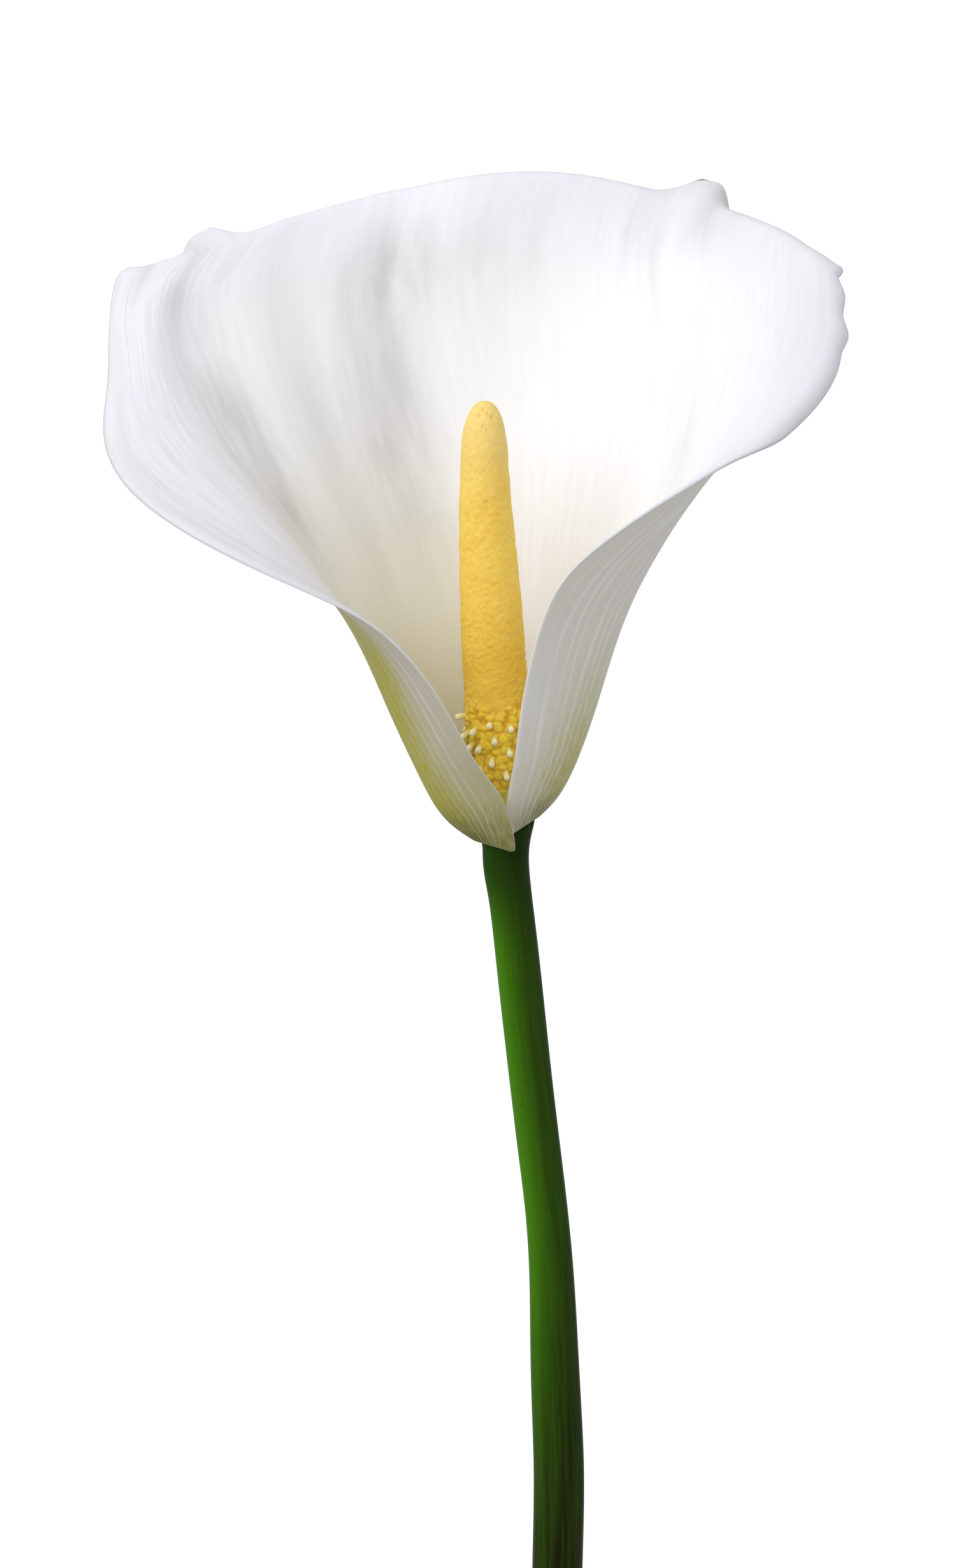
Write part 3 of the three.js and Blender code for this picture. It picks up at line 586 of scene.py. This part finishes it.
def relief(across, up):
    """Height of the pleats over the funnel in mm: ridges exp(-(distance / half width)^2) along the veins.

    Each rises over PLEAT_FADE past its start and sinks over PLEAT_FADE up to its end. The table's
    pleats are joined by seeded fine ones.
    """
    draw = np.random.default_rng(FINE_PLEAT_SEED)
    start = draw.uniform(0.35, 0.65, FINE_PLEATS)
    fine = np.stack([
        draw.uniform(0.1, 0.95, FINE_PLEATS), start, start + draw.uniform(0.3, 0.7, FINE_PLEATS),
        draw.uniform(0.01, 0.025, FINE_PLEATS), draw.normal(0, 0.12, FINE_PLEATS)], -1)
    vein = vein_at(across[None, :], up[:, None])
    height = np.zeros(vein.shape)
    for place, start, end, half, high in [*PLEATS, *fine.tolist()]:
        rise = smoothstep(start, start + PLEAT_FADE, up) * (1 - smoothstep(end - PLEAT_FADE, end, up))
        height += high * rise[:, None] * np.exp(-((vein - place) / half) ** 2)
    return height


def rolled(point, out, normal, width, turn, share):
    """Point on a rolled strip: from its edge point outwards along an arc of that width and turn."""
    angle = np.radians(turn)
    radius = (width / angle)[..., None]
    bend = (angle * share)[..., None]
    return point + out * np.sin(bend) * radius - normal * (1 - np.cos(bend)) * radius


def spathe_middle(across, up, steps):
    """Middle surface of the spathe: the pleated funnel with its rolled strips, rows from the base up.

    The funnel is a cubic curve up each guide and a cubic curve across them. Strips roll from its
    left, right and top edges, and fan round the two corners from the side's direction to the top's.
    """
    guides = [LEFT_MARGIN, LEFT_FLANK, BACK_LEFT, BACK, BACK_RIGHT, RIGHT_FLANK, RIGHT_MARGIN]
    rising = curve_through(LEVELS, np.swapaxes(np.array(guides, float), 0, 1), up)
    funnel = np.swapaxes(curve_through(ACROSS, np.swapaxes(rising, 0, 1), across), 0, 1)
    funnel = funnel + grid_normals(funnel) * relief(across, up)[..., None]
    normal = grid_normals(funnel)
    rise = unit(np.gradient(funnel, axis=0))
    reach = unit(np.gradient(funnel, axis=1))
    left_out = -unit(np.cross(rise[:, 0], normal[:, 0]))
    right_out = unit(np.cross(rise[:, -1], normal[:, -1]))
    top_out = unit(np.cross(normal[-1], reach[-1]))
    left_width, left_turn = eased(LEFT_RIM, up)
    right_width, right_turn = eased(RIGHT_RIM, up)
    top_width, top_turn = eased(TOP_RIM, across)
    left = rolled(funnel[:, :1], left_out[:, None], normal[:, :1],
                  left_width[:, None], left_turn[:, None], steps[None, ::-1])
    right = rolled(funnel[:, -1:], right_out[:, None], normal[:, -1:],
                   right_width[:, None], right_turn[:, None], steps[None, :])
    top = rolled(funnel[-1:], top_out[None], normal[-1:], top_width[None], top_turn[None], steps[:, None])

    def corner(out, width, turn, column, aside):
        """Corner patch: each point rolls out in a direction between the side's and the top's."""
        high = steps[:, None]
        share = np.where(high >= aside, 1 - 0.5 * aside / high, 0.5 * high / aside)
        angle = (share * math.pi / 2)[..., None]
        fan = unit(out * np.cos(angle) + top_out[column] * np.sin(angle))
        face = np.broadcast_to(normal[-1, column], fan.shape)
        wide = width + (top_width[column] - width) * share
        bent = turn + (top_turn[column] - turn) * share
        return rolled(funnel[-1, column], fan, face, wide, bent, np.maximum(high, aside))

    top_left = corner(left_out[-1], left_width[-1], left_turn[-1], 0, steps[None, ::-1])
    top_right = corner(right_out[-1], right_width[-1], right_turn[-1], -1, steps[None, :])
    return np.concatenate([
        np.concatenate([left, funnel, right], axis=1),
        np.concatenate([top_left, top, top_right], axis=1)])


def edge_distances(middle):
    """Distances in mm along the sheet from each point to its left, right, base and top edges."""
    step = np.linalg.norm(np.diff(middle, axis=1), axis=-1)
    from_left = np.concatenate([np.zeros((len(middle), 1)), np.cumsum(step, axis=1)], axis=1)
    rise = np.linalg.norm(np.diff(middle, axis=0), axis=-1)
    from_base = np.concatenate([np.zeros((1, middle.shape[1])), np.cumsum(rise, axis=0)])
    return from_left, from_left[:, -1:] - from_left, from_base, from_base[-1:] - from_base


def spathe_maps(level, place, vein, hem):
    """Maps of the petal's colours: products of eased steps up the petal, across it and from its edge.

    Outside, the foot is green, most of all on the flanks and the back, its deep green partly painted
    shade where the wraps curve under, and painted shade darkens the wraps. Inside, the throat is cream,
    partly painted shade deep in the funnel, the rim has a cool tint of painted shade, and grey bands
    exp(-(distance / half width)^2) of painted shade follow the veins.
    """
    left = place < 0.5
    outline = 0.095 - 0.045 * smoothstep(0.12, 0.36, level)
    flank = np.where(left, smoothstep(0.3, 1.5, place / outline), smoothstep(0, 0.13, 1 - place))
    fade = [np.where(left, *ends) for ends in (FLANK_GREEN_START, FLANK_GREEN_END)]
    margin_green = np.where(left, *MARGIN_GREEN) * (1 - smoothstep(*MARGIN_GREEN_FADE, level))
    flank_green = np.where(left, *FLANK_GREEN) * (1 - smoothstep(*fade, level))
    # The deep green at the foot is partly its colour and partly painted shade where the wraps curve under.
    foot = np.where(left, *FOOT_GREEN) * (1 - smoothstep(*FOOT_FADE, level))
    foot += np.where(left, *FLANK_FOOT) * flank * (1 - smoothstep(*FLANK_FOOT_FADE, level))
    # The throat's cream is partly its own tint and partly painted shade deep in the funnel.
    cream = (1 - smoothstep(*THROAT_FADE, level)) * smoothstep(*THROAT_LEFT, place)
    cream *= 1 - 0.85 * smoothstep(*THROAT_RIGHT, place)
    lobe = (1 - smoothstep(*LOBE_ACROSS, place)) * smoothstep(*LOBE_RISE, level)
    # Painted shade outside: the lower left wrap and the upper right one darker.
    outer_shade = np.where(left, 1 - smoothstep(*LEFT_SHADE_FADE, level), 0.3 * smoothstep(*RIGHT_SHADE_RISE, level))
    # Painted shade: grey bands along the veins inside.
    grey = np.zeros_like(level)
    for at, start, end, half, strength in SHADE_BANDS:
        rise = smoothstep(start, start + BAND_FADE, level) * (1 - smoothstep(end - BAND_FADE, end, level))
        grey += strength * rise * np.exp(-((vein - at) / half) ** 2)
    return {
        "green": margin_green * (1 - flank) + flank_green * flank, "outer_shade": outer_shade,
        "foot": foot, "cream": cream, "grey": grey, "lobe": lobe * smoothstep(*LOBE_INSET, hem),
        "cool_rim_shade": 1 - smoothstep(*COOL_INSET, hem), "hem": hem, "vein": vein, "level": level}


def make_spathe():
    """Spathe: a closed sheet, half the thickness to either side of its middle surface, round at its edges."""
    across = np.linspace(0, 1, CELLS_ACROSS + 1)
    up = np.concatenate([BASE_ROWS, np.linspace(ROWS_START, 1, ROWS_UP)])
    steps = 1 - (1 - np.arange(1, CELLS_IN_ROLL + 1) / CELLS_IN_ROLL) ** ROLL_EASE
    middle = spathe_middle(across, up, steps)
    rows, columns = middle.shape[:2]
    from_left, from_right, from_base, from_top = edge_distances(middle)
    hem = np.minimum(np.minimum(from_left, from_right), from_top)
    level = np.concatenate([up, np.ones(CELLS_IN_ROLL)])[:, None] * np.ones(columns)
    place = np.concatenate([np.zeros(CELLS_IN_ROLL), across, np.ones(CELLS_IN_ROLL)]) * np.ones((rows, 1))
    beyond_left = from_left[:, :CELLS_IN_ROLL] - from_left[:, CELLS_IN_ROLL][:, None]
    beyond_right = from_right[:, -CELLS_IN_ROLL - 1][:, None] - from_right[:, -CELLS_IN_ROLL:]
    place[:, :CELLS_IN_ROLL] += beyond_left / PETAL_WIDTH
    place[:, -CELLS_IN_ROLL:] += beyond_right / PETAL_WIDTH
    body = BASE_THICKNESS + (RIM_THICKNESS - BASE_THICKNESS) * level
    nearest = np.minimum(hem, from_base)
    rounding = np.sqrt(1 - (1 - np.clip(nearest / EDGE_ROUNDING, 0, 1)) ** 2)
    half = np.maximum(body * rounding, EDGE_THICKNESS)[..., None] / 2
    normal = grid_normals(middle)
    sides = [middle + normal * half, middle - normal * half]
    points = np.concatenate([side.reshape(-1, 3) for side in sides])
    points[:, 2] = np.maximum(points[:, 2], 0)

    size = rows * columns
    front = np.arange(size).reshape(rows, columns)
    loop = np.concatenate([front[0, :-1], front[:-1, -1], front[-1, :0:-1], front[:0:-1, 0]])
    after = np.roll(loop, -1)
    stitches = np.stack([loop, loop + size, after + size, after], -1)

    # Distances across at one level give the noises their even width, and the outside has cells of its own.
    reference = np.argmin(np.abs(up - REFERENCE_LEVEL))
    width = np.linalg.norm(np.diff(middle[reference, CELLS_IN_ROLL:-CELLS_IN_ROLL], axis=0), axis=-1)
    vein = vein_at(place, level)
    sideways = np.interp(vein, across, np.concatenate([[0], np.cumsum(width)]))
    sideways[:, :CELLS_IN_ROLL] += ROLL_SPREAD * beyond_left
    sideways[:, -CELLS_IN_ROLL:] += ROLL_SPREAD * beyond_right
    sheet = np.stack([sideways, from_base, np.zeros_like(from_base)], -1).reshape(-1, 3)
    maps = {name: np.tile(values.ravel(), 2) for name, values in spathe_maps(level, place, vein, hem).items()}
    maps["sheet"] = np.concatenate([sheet, sheet + [0, 0, OUTSIDE_SHIFT]])
    maps["outer"] = np.repeat([0.0, 1.0], size)
    faces = [grid_faces(rows, columns), grid_faces(rows, columns, size, flip=True), stitches]
    make_piece("spathe_petal", points, faces, maps, petal_material(), "spathe")


def frames_along(tangent):
    """Two directions square to each tangent: aside, which is level, and above."""
    aside = unit(np.cross(tangent, [0, 0, 1]))
    return aside, unit(np.cross(aside, tangent))


def tube(line, radius, tangent):
    """Closed tube: rings of points at the given radii round a line, its two ends closed by fans.

    radius has a row for each point of the line and a column for each side. Angle 0 is aside.
    """
    sides = radius.shape[1]
    aside, above = frames_along(tangent)
    angle = 2 * math.pi * np.arange(sides) / sides
    round_about = aside[:, None] * np.cos(angle)[:, None] + above[:, None] * np.sin(angle)[:, None]
    rings = line[:, None] + round_about * radius[..., None]
    points = np.concatenate([rings.reshape(-1, 3), line[:1], line[-1:]])
    i, j = np.meshgrid(np.arange(len(line) - 1), np.arange(sides), indexing="ij")
    after = (j + 1) % sides
    quads = np.stack([i * sides + j, (i + 1) * sides + j, (i + 1) * sides + after, i * sides + after], -1)
    start = len(line) * sides
    ring = np.arange(sides)
    ahead = np.roll(ring, -1)
    first = np.stack([np.full(sides, start), ring, ahead], -1)
    last = np.stack([np.full(sides, start + 1), start - sides + ahead, start - sides + ring], -1)
    return points, [quads.reshape(-1, 4), first, last]


def with_ends(values):
    """Values on the rings of a tube, a row a point, with the first and last ring's for its end points."""
    return np.concatenate([values.reshape(-1, *values.shape[2:]), values[[0, -1], 0]])


def make_stem():
    """Stem: rings round a cubic curve through its sections, a rounded cut, and a shoulder below the neck."""
    sections = np.array(STEM, float)
    neck = np.array(NECK, float)
    reach = np.concatenate([[0], np.cumsum(np.linalg.norm(np.diff(sections[:, :3], axis=0), axis=-1))])
    at = np.concatenate([
        2 * CUT_ROUNDING * np.linspace(0, 1, 5) ** 2, np.linspace(3 * CUT_ROUNDING, reach[-1], STEM_RINGS)])
    body = curve_through(reach, sections, at)
    # The rim of the cut is rounded by a quarter circle and carries on as a flat face.
    body[:, 3] -= CUT_ROUNDING * (1 - np.sqrt(1 - (1 - np.clip(at / CUT_ROUNDING, 0, 1)) ** 2))
    share = np.linspace(0, 1, 6)[1:, None]
    shoulder = sections[-1] * (1 - share) + neck[0] * share
    shoulder[:, 3:] = neck[0, 3] + (sections[-1, 3] - neck[0, 3]) * np.sqrt(1 - share ** 2)
    cut = np.repeat(body[:1], len(CUT_RINGS), axis=0)
    cut[:, 3] *= CUT_RINGS
    line = np.concatenate([cut, body, shoulder, neck[1:]])
    before = len(cut)
    behind = len(line) - before - len(body)
    from_cut = np.concatenate([np.zeros(before), at, np.full(behind, at[-1])])
    angle = 2 * math.pi * np.arange(STEM_SIDES) / STEM_SIDES
    ribs = sum(high * np.sin(count * angle + phase) for high, count, phase in STEM_RIBS) - RIB_SINK
    fade = np.concatenate([CUT_RINGS, np.ones(len(at)), np.zeros(behind)])
    radius = line[:, 3:] + fade[:, None] * ribs
    tangent = unit(np.gradient(line[:, :3], axis=0))
    tangent[:before + 1] = tangent[before + 1]
    tangent[-behind:] = tangent[before + len(body) - 2]
    points, faces = tube(line[:, :3], radius, tangent)
    # The shoulder leans like the foot of the spathe above it: each ring is sheared along the stem.
    near = smoothstep(at[-1] - SHOULDER_REACH, at[-1], from_cut)[:, None]
    near[-2:, 0] = NECK_SLANT
    wide = radius * np.cos(angle)
    deep = radius * np.sin(angle)
    slant = near * (SHOULDER_LEAN * wide + SHOULDER_CURL * wide ** 2 + SHOULDER_TILT * deep)
    points[:slant.size, 1] += slant.ravel()
    points[:, 2] = np.maximum(points[:, 2], 0)
    fibre = np.stack([wide, deep, np.broadcast_to(from_cut[:, None] * FIBRE_STRETCH, wide.shape)], -1)
    # Painted light and shade: one flank lighter green where the light falls, the other darker.
    painted_light_side = smoothstep(0.05, 0.95, 0.5 - 0.5 * np.cos(angle - math.radians(DARK_SIDE)))
    # Darker and browner towards the cut end.
    darker_near_cut = (1 - smoothstep(*DARKENING_END, from_cut))[:, None] * (1 - 0.12 * painted_light_side)
    shaded = 0.85 * smoothstep(at[-1] - SHADE_START, at[-1] - SHADE_FULL, from_cut)[:, None]
    flesh = np.concatenate([1 - smoothstep(0.7, 1, CUT_RINGS), np.zeros(len(line) - before)])[:, None]
    maps = {"painted_light_side": painted_light_side, "darker_near_cut": darker_near_cut, "shaded": shaded, "flesh": flesh}
    maps = {name: with_ends(np.broadcast_to(values, radius.shape)) for name, values in maps.items()}
    maps["fibre"] = with_ends(fibre)
    make_piece("stem_stalk", points, faces, maps, stem_material(), "stem")


def spadix_radius(share):
    """Radius in mm along the spadix: a cubic curve through its stations, then a dome to the tip.

    The dome is the last station's radius times (1 - t^1.9)^0.42, t running from 0 at its start to 1.
    """
    table = np.array(SPADIX_RADIUS, float)
    body = curve_through(table[:, 0], table[:, 1], np.minimum(share, DOME_START))
    t = np.clip((share - DOME_START) / (DOME_END - DOME_START), 0, 1)
    return body * (1 - t ** 1.9) ** 0.42


def mottled(turn, along, seed, most_turns, highest):
    """Uneven lumps on a surface that closes on itself, between about -1 and 1.

    It is a sum of MOTTLE_WAVES seeded sine waves, each with a whole number of waves round the
    surface, up to most_turns, and up to highest waves a millimetre along it.
    """
    draw = np.random.default_rng(seed)
    total = np.zeros(turn.shape)
    for _ in range(MOTTLE_WAVES):
        round_it = draw.integers(-most_turns, most_turns + 1)
        rate = draw.uniform(0.15, 1) * highest
        total += np.sin(2 * math.pi * (round_it * turn + rate * along) + draw.uniform(0, 2 * math.pi))
    return total / math.sqrt(MOTTLE_WAVES)


def packed(turn, along, count, pitch, seed, reach):
    """Packed domes on a surface that closes on itself: height 0 to 1 and a seeded shade of each.

    Centres stand in staggered rows, count to a row and pitch apart, each out of place by up to 0.4 of
    its cell across and 0.36 along. A point belongs to its nearest centre, r cells away. The height is
    sqrt(1 - (r / reach)^2), so it is 1 at a centre and 0 in the gaps beyond the domes' reach, times
    1 - 0.45 (r / s)^4, where s is how far the next centre is, so that a crease lies between two domes.
    """
    draw = np.random.default_rng(seed)
    aside = draw.uniform(-0.4, 0.4, (PACKED_ROWS, count))
    ahead = draw.uniform(-0.36, 0.36, (PACKED_ROWS, count))
    tone = draw.uniform(0, 1, (PACKED_ROWS, count))
    row = np.floor(along / pitch).astype(int)
    nearest = np.full(along.shape, np.inf)
    second = np.full(along.shape, np.inf)
    shade = np.zeros(along.shape)
    for up in (-1, 0, 1):
        at = row + up
        seeded = at % PACKED_ROWS
        stagger = 0.5 * (at % 2)
        column = np.round(turn * count - stagger).astype(int)
        for step in (-1, 0, 1):
            cell = (column + step) % count
            wide = turn * count - (column + step + stagger + aside[seeded, cell])
            high = along / pitch - (at + 0.5 + ahead[seeded, cell])
            away = np.hypot(wide, high)
            shade = np.where(away < nearest, tone[seeded, cell], shade)
            second = np.minimum(second, np.maximum(nearest, away))
            nearest = np.minimum(nearest, away)
    dome = np.sqrt(1 - np.clip(nearest / reach, 0, 1) ** 2)
    return dome * (1 - 0.45 * np.clip(nearest / second, 0, 1) ** 4), shade


def make_spadix():
    """Spadix: rings round its centre line, raised into fine anthers above and round ovaries below."""
    share = np.concatenate([
        np.linspace(0, 0.9, SPADIX_RINGS)[:-1],
        DOME_END - TIP_REACH * (1 - np.linspace(0, 1, TIP_RINGS) ** 0.6)])
    line = curve_through(SPADIX_KNOTS, SPADIX_LINE, share)
    whole = curve_through(SPADIX_KNOTS, SPADIX_LINE, np.linspace(0, 1, 200))
    length = np.linalg.norm(np.diff(whole, axis=0), axis=-1).sum()
    turn, along = np.meshgrid(np.arange(SPADIX_SIDES) / SPADIX_SIDES, share * length)
    way = np.broadcast_to(share[:, None], turn.shape)
    # Places are shaken by lumps and waves, so that no bump is round and no row runs level.
    shaken = turn + 0.006 * mottled(turn, along, seed=31, most_turns=24, highest=0.7)
    swirl = along + 0.35 * mottled(turn, along, seed=32, most_turns=16, highest=0.5)
    swirl += 0.5 * np.sin(2 * math.pi * (turn + 0.3 * way))
    grains, grain_shade = packed(shaken, swirl, count=26, pitch=0.85, seed=22, reach=0.75)
    ovaries, ovary_shade = packed(shaken, swirl, count=20, pitch=1.55, seed=23, reach=0.62)
    lumps = mottled(turn, along, seed=33, most_turns=26, highest=0.9)
    low = 1 - smoothstep(*OVARIES_END, way + 0.012 * np.sin(10 * math.pi * turn))
    crisp = 1 - smoothstep(*CRISP_END, way)
    body = smoothstep(*BUMPS_START, way) * (1 - smoothstep(*BUMPS_END, way))
    anther_height = (0.035 + 0.1 * crisp) * grains * (0.2 + 1.4 * grain_shade) + 0.035 * lumps
    raised = (1 - low) * anther_height + low * OVARY_HEIGHT * ovaries * (0.6 + 0.8 * ovary_shade)
    pit = np.zeros(turn.shape)
    for at, around, size in PITS:
        aside = (turn - around) * 2 * math.pi * TIP_RADIUS
        pit = np.maximum(pit, np.exp(-((way - at) * length / size) ** 2 - (aside / size) ** 2))
    height = body * (raised - 0.05) - PIT_DEPTH * pit
    height += 0.04 * waves(along + 9 * turn, seed=8, count=5, longest=16, shortest=5) * body
    radius = np.maximum(spadix_radius(share)[:, None] + height, TIP_CLOSE)
    radius[-1] = TIP_CLOSE
    shape, faces = tube(line, radius, unit(np.gradient(line, axis=0)))
    soft = 0.62 + 0.16 * lumps + 0.12 * grains
    maps = {
        "raised": (1 - low) * (soft * (1 - crisp) + (0.25 + 0.75 * grains) * crisp) + low * ovaries,
        "shade": (1 - low) * grain_shade + low * ovary_shade, "ovary": low, "pit": pit,
        "foot": 1 - smoothstep(*FOOT_END, way + 0.008 * np.sin(8 * math.pi * turn)),
        "bloom": 0.5 * smoothstep(*BLOOM_START, way),
        "ripe": 0.5 * smoothstep(*RIPE_START, way) * (1 - smoothstep(*RIPE_END, way))}
    maps = {name: with_ends(values) for name, values in maps.items()}
    make_piece("spadix_body", shape, faces, maps, spadix_material(), "spadix")


def make_stubs():
    """Stubs: short posts with round heads, turned profiles rooted in the spadix that droop to its foot.

    A post climbs along its lean and bows outwards by b t (1 - t) at the share t of its length.
    """
    draw = np.random.default_rng(STUB_SEED)
    golden = (3 - math.sqrt(5)) / 2
    k = np.arange(HIDDEN_STUBS)
    hidden = np.stack([
        0.09 + 0.17 * (k + draw.uniform(0, 0.6, HIDDEN_STUBS)) / HIDDEN_STUBS,
        0.53 + 0.44 * ((k * golden) % 1), draw.uniform(0.2, 0.8, HIDDEN_STUBS),
        draw.uniform(1.4, 2.1, HIDDEN_STUBS)], -1)
    share, turn, droop, length = np.concatenate([np.array(STUBS, float), hidden]).T
    foot, behind, before = [
        curve_through(SPADIX_KNOTS, SPADIX_LINE, share + step) for step in (0, -0.01, 0.01)]
    tangent = unit(before - behind)
    aside, above = frames_along(tangent)
    angle = (2 * math.pi * turn)[:, None]
    out = aside * np.cos(angle) + above * np.sin(angle)
    lean = unit(out * (1 - 0.55 * droop[:, None]) - tangent * droop[:, None])
    root = foot + out * (spadix_radius(share)[:, None] - STUB_SUNK)
    climb, swell = np.array(STUB_PROFILE).T
    spin = 2 * math.pi * np.arange(STUB_SIDES) / STUB_SIDES
    one = unit(np.cross(lean, out + tangent * 0.3))
    two = unit(np.cross(lean, one))
    circle = one[:, None] * np.cos(spin)[:, None] + two[:, None] * np.sin(spin)[:, None]
    full = (length + STUB_SUNK)[:, None, None]
    bow = (STUB_BOW * climb * (1 - climb))[None, :, None]
    posts = root[:, None] + lean[:, None] * climb[None, :, None] * full + out[:, None] * bow
    shape = posts[:, :, None] + circle[:, None] * swell[None, :, None, None]
    tips = posts[:, -1] + lean * 0.02
    cloud = np.concatenate([shape.reshape(-1, 3), posts[:, 0], tips])

    count, steps, sides = shape.shape[:3]
    n, i, j = np.meshgrid(np.arange(count), np.arange(steps - 1), np.arange(sides), indexing="ij")
    after = (j + 1) % sides
    low = n * steps * sides + i * sides
    high = low + sides
    quads = np.stack([low + j, low + after, high + after, high + j], -1).reshape(-1, 4)
    n, j, after, low, high = n[:, 0], j[:, 0], after[:, 0], low[:, 0], high[:, -1]
    first = np.stack([count * steps * sides + n, low + after, low + j], -1).reshape(-1, 3)
    last = np.stack([count * steps * sides + count + n, high + j, high + after], -1).reshape(-1, 3)
    head = np.broadcast_to(smoothstep(0.3, 0.8, climb)[None, :, None], (count, steps, sides)).ravel()
    head = np.concatenate([head, np.zeros(count), np.ones(count)])
    make_piece("spadix_stubs", cloud, [quads, first, last], {"head": head},
               stub_material(), "spadix")


def make_floor():
    """Plain white table, softly lit from within like a light table, so that shadows stay faint."""
    corners = [(-1, -1), (1, -1), (1, 1), (-1, 1)]
    mesh = bpy.data.meshes.new("white_floor")
    mesh.from_pydata([(x * FLOOR_HALF, y * FLOOR_HALF, -FLOOR_BELOW) for x, y in corners], [], [(0, 1, 2, 3)])
    material, _, _ = new_material("white_acrylic_table_polished", {
        "Base Color": linear("#9A9A9A"), "Roughness": 0.9, "Specular IOR Level": 0,
        "Emission Color": linear("#FFFFFF"), "Emission Strength": 0.87})
    mesh.materials.append(material)
    floor = bpy.data.objects.new("white_floor", mesh)
    bpy.context.scene.collection.objects.link(floor)
    floor.visible_diffuse = False
    floor.visible_glossy = False
    floor.visible_transmission = False


def make_light():
    """Soft daylight: a pale even sky and one large soft light, high at the top left of the picture."""
    world = bpy.data.worlds.new("even_sky")
    world.use_nodes = True
    sky = world.node_tree.nodes["Background"]
    sky.inputs["Color"].default_value = linear("#FBFBFF")
    sky.inputs["Strength"].default_value = SKY_STRENGTH
    bpy.context.scene.world = world
    direction = unit(np.array(WINDOW_DIRECTION))
    lamp = bpy.data.lights.new("soft_window", "AREA")
    lamp.shape = "DISK"
    lamp.size = WINDOW_WIDTH
    lamp.energy = WINDOW_POWER
    window = bpy.data.objects.new("soft_window", lamp)
    window.location = np.array(WINDOW_TARGET) + direction * WINDOW_DISTANCE
    window.rotation_euler = Vector((-direction).tolist()).to_track_quat("-Z", "Y").to_euler()
    bpy.context.scene.collection.objects.link(window)


def make_camera():
    """Camera straight above the flower with its head up in the picture, framed as in the photograph."""
    camera = bpy.data.cameras.new("camera")
    camera.sensor_width = SENSOR
    camera.lens = LENS
    camera.clip_end = CAMERA_REACH
    eye = bpy.data.objects.new("camera", camera)
    eye.location = [place * MM for place in CAMERA_PLACE]
    bpy.context.scene.collection.objects.link(eye)
    bpy.context.scene.camera = eye


make_camera()
make_light()
make_floor()
make_spathe()
make_stem()
make_spadix()
make_stubs()

bpy.context.scene.view_settings.view_transform = "Standard"
